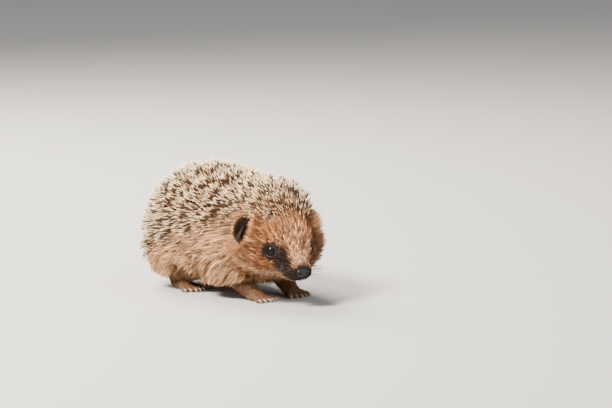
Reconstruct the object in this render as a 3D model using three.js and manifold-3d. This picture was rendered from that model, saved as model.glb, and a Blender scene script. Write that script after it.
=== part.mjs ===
// A young European hedgehog, hunched in a low stance with its head turned to its right.
// Millimetres. +X runs forward, +Y to the animal's left and +Z up; the floor is z = 0.
// The solids reach out to the tips of the spines and fur. Thin cuts part them from each other.
import * as THREE from 'three';
import { mergeVertices } from 'three/addons/utils/BufferGeometryUtils.js';
import Module from 'manifold-3d';

const wasm = await Module();
wasm.setup();

// ---------------------------------------------------------------- driving dimensions
const GAP = 0.3; // between neighbouring solids
const BACK_HEIGHT = 66; // skin at the top of the arched back
const BELLY_HEIGHT = 11; // skin under the belly
const TRUNK_LENGTH = 72; // skin, rump to shoulders
const TRUNK_HALF_WIDTH = 29; // skin
const SPINE_REACH = 12.5; // how far the spine tips stand off the back
const FLANK_FUR = 7.5; // depth of the long fur on the flanks
const BELLY_FUR = 3;
const FACE_FUR = 1.8;
const HEAD_AT = [56, -5, 33.7]; // middle of the skull
const HEAD_YAW = -12.5; // degrees, turned to the animal's right
const HEAD_PITCH = 20; // degrees, nose down
const SNOUT_REACH = 31; // skull middle to nose tip
const EYE_RADIUS = 3.6;
const EYE_AT = [9.5, 11.1, 2.5]; // in the head's own frame: forward, sideways, up
const EAR_AT = [-7, 22.5, 8]; // in the head's own frame too
const EAR_HEIGHT = 17;
const EAR_WIDTH = 12;
const EAR_WALL = 1.3;
const FORE_FOOT = 13; // wrist to toe tips, without the claws
const HIND_FOOT = 22; // heel to toe tips, without the claws
const CLAW = 4.2;
const TRUNK_CELL = 6.6; // size of the net that the trunk and neck are cut from
const HEAD_CELL = 3.9;

// Widths of the soft creases where forms run into each other.
const TRUNK_BLEND = 8;
const HEAD_BLEND = 4.5;
const NECK_BLEND = 7;

const SIDES = { left: 1, right: -1 };

// ---------------------------------------------------------------- distances to simple forms
// Each returns a function of a point that is negative inside the form and about the distance outside.
function ellipsoid(at, radii) {
  return ({ x, y, z }) => {
    const [a, b, c] = [x - at[0], y - at[1], z - at[2]];
    const near = Math.hypot(a / radii[0], b / radii[1], c / radii[2]);
    const steep = Math.hypot(a / radii[0] ** 2, b / radii[1] ** 2, c / radii[2] ** 2);
    return steep > 1e-9 ? (near * (near - 1)) / steep : -Math.min(...radii);
  };
}

function taperedLimb(from, to, radiusFrom, radiusTo) {
  const start = new THREE.Vector3(...from);
  const along = new THREE.Vector3(...to).sub(start);
  return (p) => {
    const offset = p.clone().sub(start);
    const t = THREE.MathUtils.clamp(offset.dot(along) / along.lengthSq(), 0, 1);
    return offset.addScaledVector(along, -t).length() - THREE.MathUtils.lerp(radiusFrom, radiusTo, t);
  };
}

// Joins two distances with a soft crease of the given width.
function soften(a, b, width) {
  const h = Math.max(width - Math.abs(a - b), 0);
  return Math.min(a, b) - (h * h) / (4 * width);
}

const bothSides = (form, at, ...rest) => [form(at, ...rest), form([at[0], -at[1], at[2]], ...rest)];
const ramp = THREE.MathUtils.smoothstep; // (value, low, high) to 0..1

// ---------------------------------------------------------------- the flesh under the coat
const trunkMid = (BACK_HEIGHT + BELLY_HEIGHT) / 2;
const trunkDeep = (BACK_HEIGHT - BELLY_HEIGHT) / 2;
const trunkForms = [
  ellipsoid([-11, 0, trunkMid], [TRUNK_LENGTH / 2, TRUNK_HALF_WIDTH, trunkDeep]), // barrel
  ellipsoid([-22, 0, trunkMid - 4], [TRUNK_LENGTH * 0.34, TRUNK_HALF_WIDTH * 0.95, trunkDeep * 0.8]), // rump
  ellipsoid([12, 0, trunkMid], [TRUNK_LENGTH * 0.36, TRUNK_HALF_WIDTH, trunkDeep * 0.85]), // shoulders
  ellipsoid([35, 3, trunkMid - 0.5], [TRUNK_LENGTH / 3, TRUNK_HALF_WIDTH * 0.86, trunkDeep * 0.86]), // neck
  ...bothSides(ellipsoid, [-26, 17, 20.5], [16.5, 14, 12.5]), // thighs
  ...bothSides(ellipsoid, [20, 17, 22], [14, 12, 12.5]), // upper arms
];

// The head's own frame: +X out along the snout, +Y to its left, +Z out of the crown.
const radians = THREE.MathUtils.degToRad;
const headTurn = new THREE.Euler(0, radians(HEAD_PITCH), radians(HEAD_YAW), 'ZYX');
const headFrame = new THREE.Matrix4().makeRotationFromEuler(headTurn).setPosition(...HEAD_AT);
const toHead = headFrame.clone().invert();

const noseTip = [SNOUT_REACH - 2.6, 0, -2.4];
const headForms = [
  ellipsoid([-7, 0, 4], [20, 20.5, 19]), // skull
  ellipsoid([3, 0, 6], [12.5, 14, 11]), // brow
  ...bothSides(ellipsoid, [-1, 13, -5], [12.5, 9.5, 9.5]), // cheeks
  taperedLimb([4, 0, -0.5], [SNOUT_REACH - 7, 0, -2.6], 12.8, 6.3), // snout
  ...bothSides(ellipsoid, [SNOUT_REACH - 9, 4.2, -4.6], [5.8, 3.6, 3.3]), // whisker pads
  taperedLimb([3, 0, -9.5], [SNOUT_REACH - 11, 0, -8.4], 7, 3), // lower jaw
];

const FAR = 1000;
function fleshDistance(p) {
  const trunk = trunkForms.reduce((d, form) => soften(d, form(p), TRUNK_BLEND), FAR);
  const inHead = p.clone().applyMatrix4(toHead);
  const head = headForms.reduce((d, form) => soften(d, form(inHead), HEAD_BLEND), FAR);
  return soften(trunk, head, NECK_BLEND);
}

// ---------------------------------------------------------------- the depth of the coat
// The skirt of the spiny coat rises towards the ears, and its brow line crosses the crown between them.
const SKIRT_AT_RUMP = 24; // height of the skirt line over x = -55
const SKIRT_RISE = 0.2; // for each millimetre forward
const BROW_AT_CROWN = 3; // how far forward the brow line lies, in the head's frame
const BROW_CURVE = 0.04; // how it falls back towards the ears

// 1 where spines stand in full and 0 where only fur grows.
function spiny(p, inHead) {
  const skirt = SKIRT_AT_RUMP + SKIRT_RISE * (p.x + 55);
  const overSkirt = ramp(p.z, skirt - 8, skirt + 14);
  const brow = BROW_AT_CROWN - BROW_CURVE * inHead.y ** 2;
  const behindBrow = ramp(brow - inHead.x, -2, 15);
  const overEars = ramp(inHead.z, 8, 24);
  const onHead = ramp(inHead.x, -28, -10);
  return overSkirt * THREE.MathUtils.lerp(1, behindBrow * overEars, onHead);
}

const apart = (p, at) => Math.hypot(p.x - at[0], Math.abs(p.y) - at[1], p.z - at[2]);
const SNOUT_SHARE = 0.35; // of the face's fur is left on the tip of the snout
const EAR_SHARE = 0.3; // of the coat is left round the ears

function coatDepth(p) {
  const inHead = p.clone().applyMatrix4(toHead);
  const onFace = ramp(inHead.x, -9, 9);
  const underside = ramp(-p.z, -13, -6);
  const body = THREE.MathUtils.lerp(FLANK_FUR, BELLY_FUR, underside);
  const fur = THREE.MathUtils.lerp(body, FACE_FUR, onFace);
  const onSnout = ramp(inHead.x, 12, 24);
  const fromEye = ramp(apart(inHead, EYE_AT), 3, 9); // the skin round the eyes is bare
  const short = THREE.MathUtils.lerp(fur, FACE_FUR * SNOUT_SHARE, onSnout) * fromEye;
  const fromEar = THREE.MathUtils.lerp(EAR_SHARE, 1, ramp(apart(inHead, EAR_AT), 7, 17));
  return THREE.MathUtils.lerp(short, SPINE_REACH, spiny(p, inHead)) * fromEar;
}

const coatDistance = (p) => fleshDistance(p) - coatDepth(p);

// ---------------------------------------------------------------- from distances to solids
// Surface nets: one vertex in each cell that the surface crosses, one quad for each crossed edge.
function polygonise(distance, box, cell) {
  const size = box.getSize(new THREE.Vector3());
  const [nx, ny, nz] = size.toArray().map((s) => Math.ceil(s / cell) + 2);
  const start = box.min.clone().subScalar(cell / 2);
  const corner = (i, j, k) => new THREE.Vector3(i, j, k).multiplyScalar(cell).add(start);
  const at = (i, j, k) => i + (nx + 1) * (j + (ny + 1) * k);
  const values = new Float64Array((nx + 1) * (ny + 1) * (nz + 1));
  for (let k = 0; k <= nz; k++)
    for (let j = 0; j <= ny; j++)
      for (let i = 0; i <= nx; i++) {
        const rim = [i, j, k].includes(0) || i === nx || j === ny || k === nz;
        const value = distance(corner(i, j, k));
        values[at(i, j, k)] = rim ? Math.max(value, cell / 2) : value; // closes what runs out of the box
      }

  const positions = [];
  const vertexOf = new Map();
  const isInside = (point) => values[at(...point)] < 0;
  const cube = [...Array(8).keys()]; // bit 1 of a corner's number is x, bit 2 is y and bit 4 is z
  const edges = cube.flatMap((c) => [1, 2, 4].filter((bit) => !(c & bit)).map((bit) => [c, c + bit]));
  for (let k = 0; k < nz; k++)
    for (let j = 0; j < ny; j++)
      for (let i = 0; i < nx; i++) {
        const corners = cube.map((c) => [i + (c & 1), j + ((c >> 1) & 1), k + (c >> 2)]);
        const crossed = edges.filter(([a, b]) => isInside(corners[a]) !== isInside(corners[b]));
        if (!crossed.length) continue;
        const mean = new THREE.Vector3();
        for (const [a, b] of crossed) {
          const [va, vb] = [values[at(...corners[a])], values[at(...corners[b])]];
          mean.add(corner(...corners[a]).lerp(corner(...corners[b]), va / (va - vb)));
        }
        mean.divideScalar(crossed.length);
        vertexOf.set(at(i, j, k), positions.length / 3);
        positions.push(...settle(mean, distance, cell));
      }

  const triangles = [];
  const steps = [[1, 0, 0], [0, 1, 0], [0, 0, 1]];
  for (let k = 0; k < nz; k++)
    for (let j = 0; j < ny; j++)
      for (let i = 0; i < nx; i++)
        steps.forEach((step, axis) => {
          const inside = isInside([i, j, k]);
          if (inside === isInside([i + step[0], j + step[1], k + step[2]])) return;
          const [u, v] = [steps[(axis + 1) % 3], steps[(axis + 2) % 3]];
          const ring = [[0, 0], [1, 0], [1, 1], [0, 1]].map(([m, n]) =>
            vertexOf.get(at(i - m * u[0] - n * v[0], j - m * u[1] - n * v[1], k - m * u[2] - n * v[2])));
          const [a, b, c, d] = inside ? ring : ring.reverse();
          triangles.push(a, b, c, a, c, d);
        });
  const geometry = new THREE.BufferGeometry();
  geometry.setAttribute('position', new THREE.Float32BufferAttribute(positions, 3));
  geometry.setIndex(triangles);
  return geometry;
}

// Slides a point along the slope of a distance until it lies on the surface.
function settle(point, distance, cell) {
  const h = cell * 0.1;
  const p = point.clone();
  for (let turn = 0; turn < 3; turn++) {
    const d = distance(p);
    const slope = new THREE.Vector3(
      distance(p.clone().setX(p.x + h)) - d,
      distance(p.clone().setY(p.y + h)) - d,
      distance(p.clone().setZ(p.z + h)) - d,
    ).divideScalar(h);
    const move = slope.multiplyScalar(-d / Math.max(slope.lengthSq(), 0.05));
    p.add(move.clampLength(0, cell * 0.3));
  }
  return p.sub(point).clampLength(0, cell * 0.5).add(point).toArray();
}

function solidOf(geometry) {
  const bare = geometry.clone();
  bare.deleteAttribute('normal');
  bare.deleteAttribute('uv');
  const merged = mergeVertices(bare, 1e-4);
  return new wasm.Manifold(new wasm.Mesh({
    numProp: 3,
    vertProperties: merged.attributes.position.array,
    triVerts: new Uint32Array(merged.index.array),
  }));
}

function geometryOf(solid) {
  const mesh = solid.getMesh();
  const geometry = new THREE.BufferGeometry();
  geometry.setAttribute('position', new THREE.BufferAttribute(new Float32Array(mesh.vertProperties), 3));
  geometry.setIndex(new THREE.BufferAttribute(new Uint32Array(mesh.triVerts), 1));
  return geometry;
}

const join = (solids) => solids.reduce((all, one) => all.add(one));

// ---------------------------------------------------------------- plain solids
const LARGE = 400; // more than the whole animal

// A block that fills the side of a plane that its normal points to.
function halfSpace(point, normal) {
  const block = new THREE.BoxGeometry(LARGE, LARGE, LARGE).translate(LARGE / 2, 0, 0);
  const turn = new THREE.Quaternion().setFromUnitVectors(new THREE.Vector3(1, 0, 0), normal);
  return solidOf(block.applyQuaternion(turn).translate(...point.toArray()));
}

function roundSolid(radii, place, sides = 12) {
  const ball = new THREE.SphereGeometry(1, sides, Math.round(sides * 0.6));
  return solidOf(ball.scale(...radii).applyMatrix4(place));
}

// A limb that tapers between two round ends, turned about its own line.
const ROUND_END = [Math.PI / 4, 0];
const BLUNT_END = [0];
function limbSolid(from, to, radiusFrom, radiusTo, sides = 8, bends = ROUND_END) {
  const start = new THREE.Vector3(...from);
  const along = new THREE.Vector3(...to).sub(start);
  const reach = along.length();
  const rimAt = (radius, bend) => new THREE.Vector2(radius * Math.cos(bend), radius * Math.sin(bend));
  const profile = [
    new THREE.Vector2(0, -radiusFrom),
    ...bends.map((bend) => rimAt(radiusFrom, -bend)),
    ...bends.toReversed().map((bend) => rimAt(radiusTo, bend).setY(reach + radiusTo * Math.sin(bend))),
    new THREE.Vector2(0, reach + radiusTo),
  ];
  const turn = new THREE.Quaternion().setFromUnitVectors(new THREE.Vector3(0, 1, 0), along.normalize());
  return solidOf(new THREE.LatheGeometry(profile, sides).applyQuaternion(turn).translate(...from));
}

const floorBlock = halfSpace(new THREE.Vector3(0, 0, 0), new THREE.Vector3(0, 0, -1));

// ---------------------------------------------------------------- trunk, neck and head
const boxAround = (at, half) => new THREE.Box3().setFromCenterAndSize(
  new THREE.Vector3(...at),
  new THREE.Vector3(...half).multiplyScalar(2),
);
const trunkBox = boxAround([0, 0, 42], [74, 50, 42]);
const headBox = boxAround([62, -5, 38], [38, 48, 38]);
const wholeCoarse = solidOf(polygonise(coatDistance, trunkBox, TRUNK_CELL));
const wholeFine = solidOf(polygonise(coatDistance, headBox, HEAD_CELL));

// The head is parted behind the ears and the neck in front of the shoulders.
const intoHead = (at) => new THREE.Vector3(...at).applyMatrix4(headFrame);
const headAxis = new THREE.Vector3(1, 0, 0).transformDirection(headFrame);
const headCut = {
  point: intoHead([-11, 0, 0]),
  normal: headAxis.clone().setZ(headAxis.z * 0.35).normalize(),
};
const neckCut = {
  point: new THREE.Vector3(24, -3, 40),
  normal: new THREE.Vector3(0.97, -0.12, -0.1).normalize(),
};
const shifted = ({ point, normal }, by) => point.clone().addScaledVector(normal, by);
const beyond = (cut) => halfSpace(shifted(cut, GAP / 2), cut.normal);
const before = (cut) => halfSpace(shifted(cut, -GAP / 2), cut.normal.clone().negate());

const parts = {
  trunk: wholeCoarse.intersect(before(neckCut)),
  neck: wholeCoarse.intersect(beyond(neckCut)).intersect(before(headCut)),
  head: wholeFine.intersect(beyond(headCut)),
};

// Cuts room for a piece out of those that are already there.
function makeRoom(hollow, names) {
  for (const name of names) parts[name] = parts[name].subtract(hollow);
}
const CLEAR = GAP + 0.1; // faceted pockets are cut a little wider than the gap

// ---------------------------------------------------------------- eyes, nose and jaw
const onHeadAt = (at) => headFrame.clone().multiply(new THREE.Matrix4().makeTranslation(...at));

function eyeSolid(sign, grow) {
  const radius = EYE_RADIUS + grow;
  return roundSolid([radius, radius, radius], onHeadAt([EYE_AT[0], EYE_AT[1] * sign, EYE_AT[2]]));
}

const NOSE_RADII = [2.7, 3.6, 2.9];
const noseSolid = (grow) => roundSolid(NOSE_RADII.map((r) => r + grow), onHeadAt(noseTip), 11);

const MOUTH_LINE = -7.6; // height of the mouth in the head's frame
const MOUTH_CORNER = 9; // how far forward the mouth begins
const JAW_BOX = [30, 22, 20]; // holds all of the jaw that is in front of the corner and under the line
const jawBlock = (grow) => solidOf(new THREE.BoxGeometry(...JAW_BOX.map((side) => side + grow))
  .translate(MOUTH_CORNER + JAW_BOX[0] / 2, 0, MOUTH_LINE - JAW_BOX[2] / 2)
  .applyMatrix4(headFrame));

for (const [side, sign] of Object.entries(SIDES)) {
  makeRoom(eyeSolid(sign, CLEAR), ['head']);
  parts[`eye_${side}`] = eyeSolid(sign, 0);
}
makeRoom(noseSolid(CLEAR), ['head']);
parts.nose = noseSolid(0);
parts.jaw = parts.head.intersect(jawBlock(0));
makeRoom(jawBlock(GAP * 2), ['head']);

// ---------------------------------------------------------------- ears
const EAR_DEPTH = 4.2;
const EAR_TURN = 50; // degrees that the cup opens away from straight ahead
const EAR_LEAN = -12; // degrees that it tips back
const EAR_RIM = 1.4; // how far the rim stands in front of the cup's middle

function earBlank(sign, grow) {
  const place = onHeadAt([EAR_AT[0], EAR_AT[1] * sign, EAR_AT[2]])
    .multiply(new THREE.Matrix4().makeRotationZ(radians(EAR_TURN * sign)))
    .multiply(new THREE.Matrix4().makeRotationY(radians(EAR_LEAN)));
  const outer = roundSolid([EAR_DEPTH, EAR_WIDTH / 2, EAR_HEIGHT / 2].map((r) => r + grow), place);
  const open = new THREE.BoxGeometry(LARGE, LARGE, LARGE).translate(LARGE / 2 + EAR_RIM + grow, 0, 0);
  return { blank: outer.subtract(solidOf(open.applyMatrix4(place))), place };
}

function earSolid(sign) {
  const { blank, place } = earBlank(sign, 0);
  const hollow = place.clone().multiply(new THREE.Matrix4().makeTranslation(EAR_WALL * 1.6, 0, 0));
  return blank.subtract(roundSolid([EAR_DEPTH, EAR_WIDTH / 2 - EAR_WALL, EAR_HEIGHT / 2 - EAR_WALL], hollow));
}

for (const [side, sign] of Object.entries(SIDES)) {
  makeRoom(earBlank(sign, CLEAR).blank, ['head', 'neck']);
  parts[`ear_${side}`] = earSolid(sign);
}

// ---------------------------------------------------------------- legs
// A foot lies flat: a sole and five toes that fan out from it, each with its claw.
// Its own frame has the wrist or heel at the origin, +X forward and the floor at z = 0.
const TOES = 5;
const TOE_RADIUS = 1.5;
const SOLE_THICK = 6.4;
const SOLE_FLAT = 0.5; // how much of the sole is pressed flat

function footSolid(length, width, place) {
  const middle = new THREE.Matrix4().makeTranslation(length * 0.33, 0, SOLE_THICK / 2 - SOLE_FLAT);
  const sole = roundSolid([length * 0.42, width / 2, SOLE_THICK / 2], middle, 9);
  const toes = [...Array(TOES).keys()].map((n) => {
    const spread = (n - (TOES - 1) / 2) / (TOES - 1); // -0.5 to 0.5
    const short = Math.abs(spread) * length * 0.22; // the outer toes stop sooner
    const root = [length * 0.58, spread * width * 0.8, 2.2];
    const tip = [length - short, spread * width * 1.3, 1.4];
    const end = [tip[0] + CLAW, tip[1] * 1.12, 0.7];
    const toe = limbSolid(root, tip, TOE_RADIUS + 0.2, TOE_RADIUS, 5, BLUNT_END);
    return toe.add(limbSolid(tip, end, 0.9, 0.3, 4, BLUNT_END));
  });
  return join([sole, ...toes]).transform(place.elements);
}

// Hip, knee and ankle of the left side, each with its radius, and the foot's place and turn in degrees.
const LEGS = {
  front: {
    joints: [[22, 17, 18], [36, 15, 7], [41, 14, 3.4]],
    radii: [8, 4.4, 3.2],
    foot: { at: [39, 14], turn: -6, length: FORE_FOOT, width: 9.5 },
  },
  hind: {
    joints: [[-10, 19, 16], [-26, 18.5, 7], [-24, 19, 3.4]],
    radii: [9, 4.4, 3.2],
    foot: { at: [-27, 19], turn: 9, length: HIND_FOOT, width: 9 },
  },
};

function legSolid({ joints, radii }, sign, grow) {
  const [hip, knee, ankle] = joints.map(([x, y, z]) => [x, y * sign, z]);
  const [hipRadius, kneeRadius, ankleRadius] = radii.map((r) => r + grow);
  return limbSolid(hip, knee, hipRadius, kneeRadius).add(limbSolid(knee, ankle, kneeRadius, ankleRadius, 7));
}

for (const [pair, leg] of Object.entries(LEGS)) {
  for (const [side, sign] of Object.entries(SIDES)) {
    const { at, turn, length, width } = leg.foot;
    const place = new THREE.Matrix4().makeRotationZ(radians(turn * sign)).setPosition(at[0], at[1] * sign, 0);
    const whole = legSolid(leg, sign, 0).add(footSolid(length, width, place));
    makeRoom(legSolid(leg, sign, CLEAR), ['trunk', 'neck', 'head']);
    parts[`leg_${pair}_${side}`] = whole.subtract(floorBlock);
  }
}

// ---------------------------------------------------------------- tail
const TAIL = { root: [-45, 0, 15], tip: [-57, 0, 8.5], radii: [3, 1.3] };
const tailSolid = (grow) => limbSolid(TAIL.root, TAIL.tip, TAIL.radii[0] + grow, TAIL.radii[1] + grow);
makeRoom(tailSolid(CLEAR), ['trunk']);
parts.tail = tailSolid(0);

// ---------------------------------------------------------------- the scene
const colours = {
  spines: { color: 0x9c8a74, roughness: 0.6 },
  face: { color: 0xa07a5c, roughness: 0.85 },
  skin: { color: 0x4a3a33, roughness: 0.7 },
  eye: { color: 0x0c0908, roughness: 0.08 },
};
const finish = { trunk: 'spines', neck: 'spines', head: 'face', jaw: 'face' };
for (const side of Object.keys(SIDES)) finish[`eye_${side}`] = 'eye';

const hedgehog = new THREE.Group();
for (const [name, solid] of Object.entries(parts)) {
  const material = new THREE.MeshStandardMaterial({ ...colours[finish[name] ?? 'skin'], metalness: 0 });
  const mesh = new THREE.Mesh(geometryOf(solid), material);
  mesh.name = name;
  hedgehog.add(mesh);
}

// The origin lies on the floor, under the middle of the animal.
const middle = new THREE.Box3().setFromObject(hedgehog).getCenter(new THREE.Vector3());
hedgehog.position.set(-middle.x, -middle.y, 0);

export default hedgehog;
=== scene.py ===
# %% [markdown]
# # A young hedgehog, life size, as a still museum model
# The real animal is a soft body with a short furry face, long wavy hair on its
# flanks, and some thousands of banded spines on its back. The solids already give
# its outline out to the tips of the coat. Here one skin goes inside them, by the
# depth of the coat, and spines and hair grow from it. A fur of render hair would be
# quick to comb, but it can't be exported, so every hair here is a thin solid mesh.

import math

import bpy
import numpy as np
from mathutils import Matrix, Vector
from mathutils.kdtree import KDTree


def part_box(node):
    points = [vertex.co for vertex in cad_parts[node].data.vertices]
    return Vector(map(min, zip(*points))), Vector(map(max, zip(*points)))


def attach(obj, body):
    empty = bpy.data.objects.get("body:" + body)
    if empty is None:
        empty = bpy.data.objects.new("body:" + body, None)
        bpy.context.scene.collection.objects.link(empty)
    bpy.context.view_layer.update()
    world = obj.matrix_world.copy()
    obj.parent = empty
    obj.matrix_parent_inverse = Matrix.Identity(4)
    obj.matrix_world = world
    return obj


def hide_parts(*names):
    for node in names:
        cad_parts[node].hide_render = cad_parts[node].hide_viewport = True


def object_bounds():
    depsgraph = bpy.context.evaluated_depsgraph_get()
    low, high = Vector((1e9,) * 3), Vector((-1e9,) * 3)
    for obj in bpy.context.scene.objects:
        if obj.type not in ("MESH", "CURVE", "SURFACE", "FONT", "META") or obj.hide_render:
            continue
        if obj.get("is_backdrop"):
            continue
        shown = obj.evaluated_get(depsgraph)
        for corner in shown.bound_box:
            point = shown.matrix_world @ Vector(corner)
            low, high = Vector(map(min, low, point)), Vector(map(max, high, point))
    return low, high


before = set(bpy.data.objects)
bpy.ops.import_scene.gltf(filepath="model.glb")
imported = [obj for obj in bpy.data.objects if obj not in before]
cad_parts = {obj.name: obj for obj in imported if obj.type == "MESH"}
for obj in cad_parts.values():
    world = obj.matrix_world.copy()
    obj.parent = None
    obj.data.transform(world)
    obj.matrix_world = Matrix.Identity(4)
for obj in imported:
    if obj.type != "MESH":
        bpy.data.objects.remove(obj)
solid_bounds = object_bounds()
rng = np.random.default_rng(41)


def rounded(bounds):
    """A box's two corners with few enough digits to read."""
    return [tuple(round(c, 4) for c in corner) for corner in bounds]


print("solids:", len(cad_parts), "nodes, box in metres", rounded(solid_bounds))

# %% [markdown]
# ## One measure for the sculpt
# The sculpt is drawn in millimetres from the middle of the hips, with +X forward,
# +Y to the animal's left and the floor at zero. The solids' box was centred on the
# floor afterwards. The shift between the two could be copied as a number, but it
# would be wrong after the next change, so it is read from the right eye, whose
# place is known in both measures.

# %% Sizes and the head's frame
MM = 0.001
HEAD_AT = np.array([56.0, -5.0, 33.7])
HEAD_YAW, HEAD_PITCH = math.radians(-12.5), math.radians(20)
EYE_AT = np.array([9.5, 11.1, 2.5])
EYE_RADIUS = 3.6
SNOUT_REACH = 31.0
NOSE_AT = np.array([SNOUT_REACH - 2.6, 0, -2.4])
EAR_AT = np.array([-7, 22.5, 8])

turn_head = np.array(Matrix.Rotation(HEAD_YAW, 3, "Z") @ Matrix.Rotation(HEAD_PITCH, 3, "Y"))


def to_head(p):
    """Points of the sculpt in the head's own frame, where x runs to the nose."""
    return (p - HEAD_AT) @ turn_head


def from_head(p):
    return np.asarray(p) @ turn_head.T + HEAD_AT


low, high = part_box("eye_right")
shift = np.array((low + high) / 2) / MM - from_head(EYE_AT * (1, -1, 1))
print("shift in mm:", shift.round(3))

# %% [markdown]
# ## The flesh as a distance field
# A modeller in clay adds pads of muscle and smooths them into each other. A distance
# field does the same in numbers: each pad is an ellipsoid or a tapered limb, and a
# soft minimum blends two of them. It needs no retopology, joins head, legs and ears
# with no seam, and any point can ask how far above the skin it is, which the hair
# uses later.

# %% Forms and blends


def length(v):
    return np.sqrt((v * v).sum(-1))


def unit(v):
    return v / np.maximum(length(v), 1e-9)[..., None]


def ramp(value, start, end):
    t = np.clip((value - start) / (end - start), 0, 1)
    return t * t * (3 - 2 * t)


def mix(a, b, t):
    return a + (b - a) * t


def soften(a, b, width):
    """The lower of two distances, with the corner between them filled."""
    h = np.maximum(width - np.abs(a - b), 0)
    return np.minimum(a, b) - h * h / (4 * width)


def carve(a, b, width):
    """Form a with form b taken out of it, with a rounded edge."""
    return -soften(-a, b, width)


def ellipsoid(p, centre, radii):
    q = (p - centre) / radii
    near = length(q)
    return near * (near - 1) / np.maximum(length(q / radii), 1e-6)


def tapered_limb(p, start, end, first, last):
    start, along = np.asarray(start, float), np.subtract(end, start)
    t = np.clip((p - start) @ along / (along @ along), 0, 1)
    return length(p - start - t[..., None] * along) - mix(first, last, t)


def mirrored(p):
    """Points folded to the left side, for forms that both sides have."""
    return np.stack([p[..., 0], np.abs(p[..., 1]), p[..., 2]], -1)


def unmirrored(v, h):
    """Left-side points or directions, put on the side of the body where h is."""
    return np.stack([v[..., 0], v[..., 1] * np.sign(h[..., 1]), v[..., 2]], -1)


print("two forms 2 mm apart, blended over 4 mm, meet at", soften(0.0, 2.0, 4.0), "mm")

# %% Trunk, as bare flesh
BACK_HEIGHT, BELLY_HEIGHT = 66.0, 11.0
TRUNK_LENGTH, TRUNK_HALF = 72.0, 29.0
TRUNK_BLEND = 8.0
trunk_mid, trunk_deep = (BACK_HEIGHT + BELLY_HEIGHT) / 2, (BACK_HEIGHT - BELLY_HEIGHT) / 2


def blend_all(distances, width):
    total = distances[0]
    for other in distances[1:]:
        total = soften(total, other, width)
    return total


def trunk(p):
    """Pads of the trunk, each given by its middle and its half sizes."""
    side = mirrored(p)
    barrel = ellipsoid(p, (-11, 0, trunk_mid), (TRUNK_LENGTH / 2, TRUNK_HALF, trunk_deep))
    rump = ellipsoid(
        p, (-22, 0, trunk_mid - 4), (TRUNK_LENGTH * 0.34, TRUNK_HALF * 0.95, trunk_deep * 0.8)
    )
    shoulders = ellipsoid(
        p, (12, 0, trunk_mid), (TRUNK_LENGTH * 0.36, TRUNK_HALF, trunk_deep * 0.85)
    )
    neck = ellipsoid(
        p, (35, 3, trunk_mid - 0.5), (TRUNK_LENGTH / 3, TRUNK_HALF * 0.86, trunk_deep * 0.86)
    )
    thighs = ellipsoid(side, (-26, 17, 20.5), (16.5, 14, 12.5))
    arms = ellipsoid(side, (20, 17, 22), (14, 12, 12.5))
    return blend_all([barrel, rump, shoulders, neck, thighs, arms], TRUNK_BLEND)


print("bare trunk:", TRUNK_LENGTH, "mm long,", 2 * TRUNK_HALF, "mm wide")

# %% Head, as bare flesh
HEAD_BLEND, NECK_BLEND = 4.5, 7.0


def head(h):
    """Pads of the head in its own frame, and two tapered limbs for snout and jaw."""
    side = mirrored(h)
    skull = ellipsoid(h, (-7, 0, 4), (20, 20.5, 19))
    brow = ellipsoid(h, (3, 0, 6), (12.5, 14, 11))
    cheeks = ellipsoid(side, (-1, 13, -5), (12.5, 9.5, 9.5))
    snout = tapered_limb(h, (4, 0, -0.5), (SNOUT_REACH - 7, 0, -2.6), 12.8, 6.3)
    pads = ellipsoid(side, (SNOUT_REACH - 9, 4.2, -4.6), (5.8, 3.6, 3.3))
    jaw = tapered_limb(h, (3, 0, -9.5), (SNOUT_REACH - 11, 0, -8.4), 7, 3)
    return blend_all([skull, brow, cheeks, snout, pads, jaw], HEAD_BLEND)


def flesh(p):
    """Trunk, neck and head, without legs, ears and tail."""
    return soften(trunk(p), head(to_head(p)), NECK_BLEND)


print("the snout reaches", SNOUT_REACH, "mm ahead of the head's middle")

# %% Legs, feet and tail
TOE_SPREADS = (-0.5, -0.25, 0, 0.25, 0.5)
TOE_RADII, TOE_BLEND, LEG_BLEND = (1.7, 1.45), 0.8, 3.0
TAIL_ROOT, TAIL_TIP, TAIL_RADII, TAIL_BLEND = (-45, 0, 15), (-57, 0, 8.5), (3, 1.3), 2.0
LEGS = {
    "front": dict(
        joints=((22, 17, 18), (36, 15, 7), (41, 14, 3.4)), radii=(8, 4.4, 3.2),
        at=(39, 14), turn=-6, length=13, width=9.5,
    ),
    "hind": dict(
        joints=((-10, 19, 16), (-26, 18.5, 7), (-24, 19, 3.4)), radii=(9, 4.4, 3.2),
        at=(-27, 19), turn=9, length=22, width=9,
    ),
}


def foot_frame(leg):
    turn = np.array(Matrix.Rotation(math.radians(leg["turn"]), 3, "Z"))
    return turn, np.array([*leg["at"], 0.0])


def toe_ends(leg, spread):
    """Root and tip of one toe in the foot's own frame."""
    reach, width = leg["length"], leg["width"]
    root = np.array([0.58 * reach, spread * 0.8 * width, 2.2])
    tip = np.array([reach - abs(spread) * 0.22 * reach, spread * 1.3 * width, 1.4])
    return root, tip


def leg_distance(p, leg):
    (hip, knee, ankle), (thick, middle, thin) = leg["joints"], leg["radii"]
    upper = tapered_limb(p, hip, knee, thick, middle)
    lower = tapered_limb(p, knee, ankle, middle, thin)
    turn, at = foot_frame(leg)
    own = (p - at) @ turn
    reach, width = leg["length"], leg["width"]
    foot = ellipsoid(own, (0.33 * reach, 0, 2.7), (0.42 * reach, width / 2, 3.2))
    whole = blend_all([upper, lower, foot], LEG_BLEND)
    for spread in TOE_SPREADS:
        root, tip = toe_ends(leg, spread)
        whole = soften(whole, tapered_limb(own, root, tip, *TOE_RADII), TOE_BLEND)
    return whole


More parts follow.
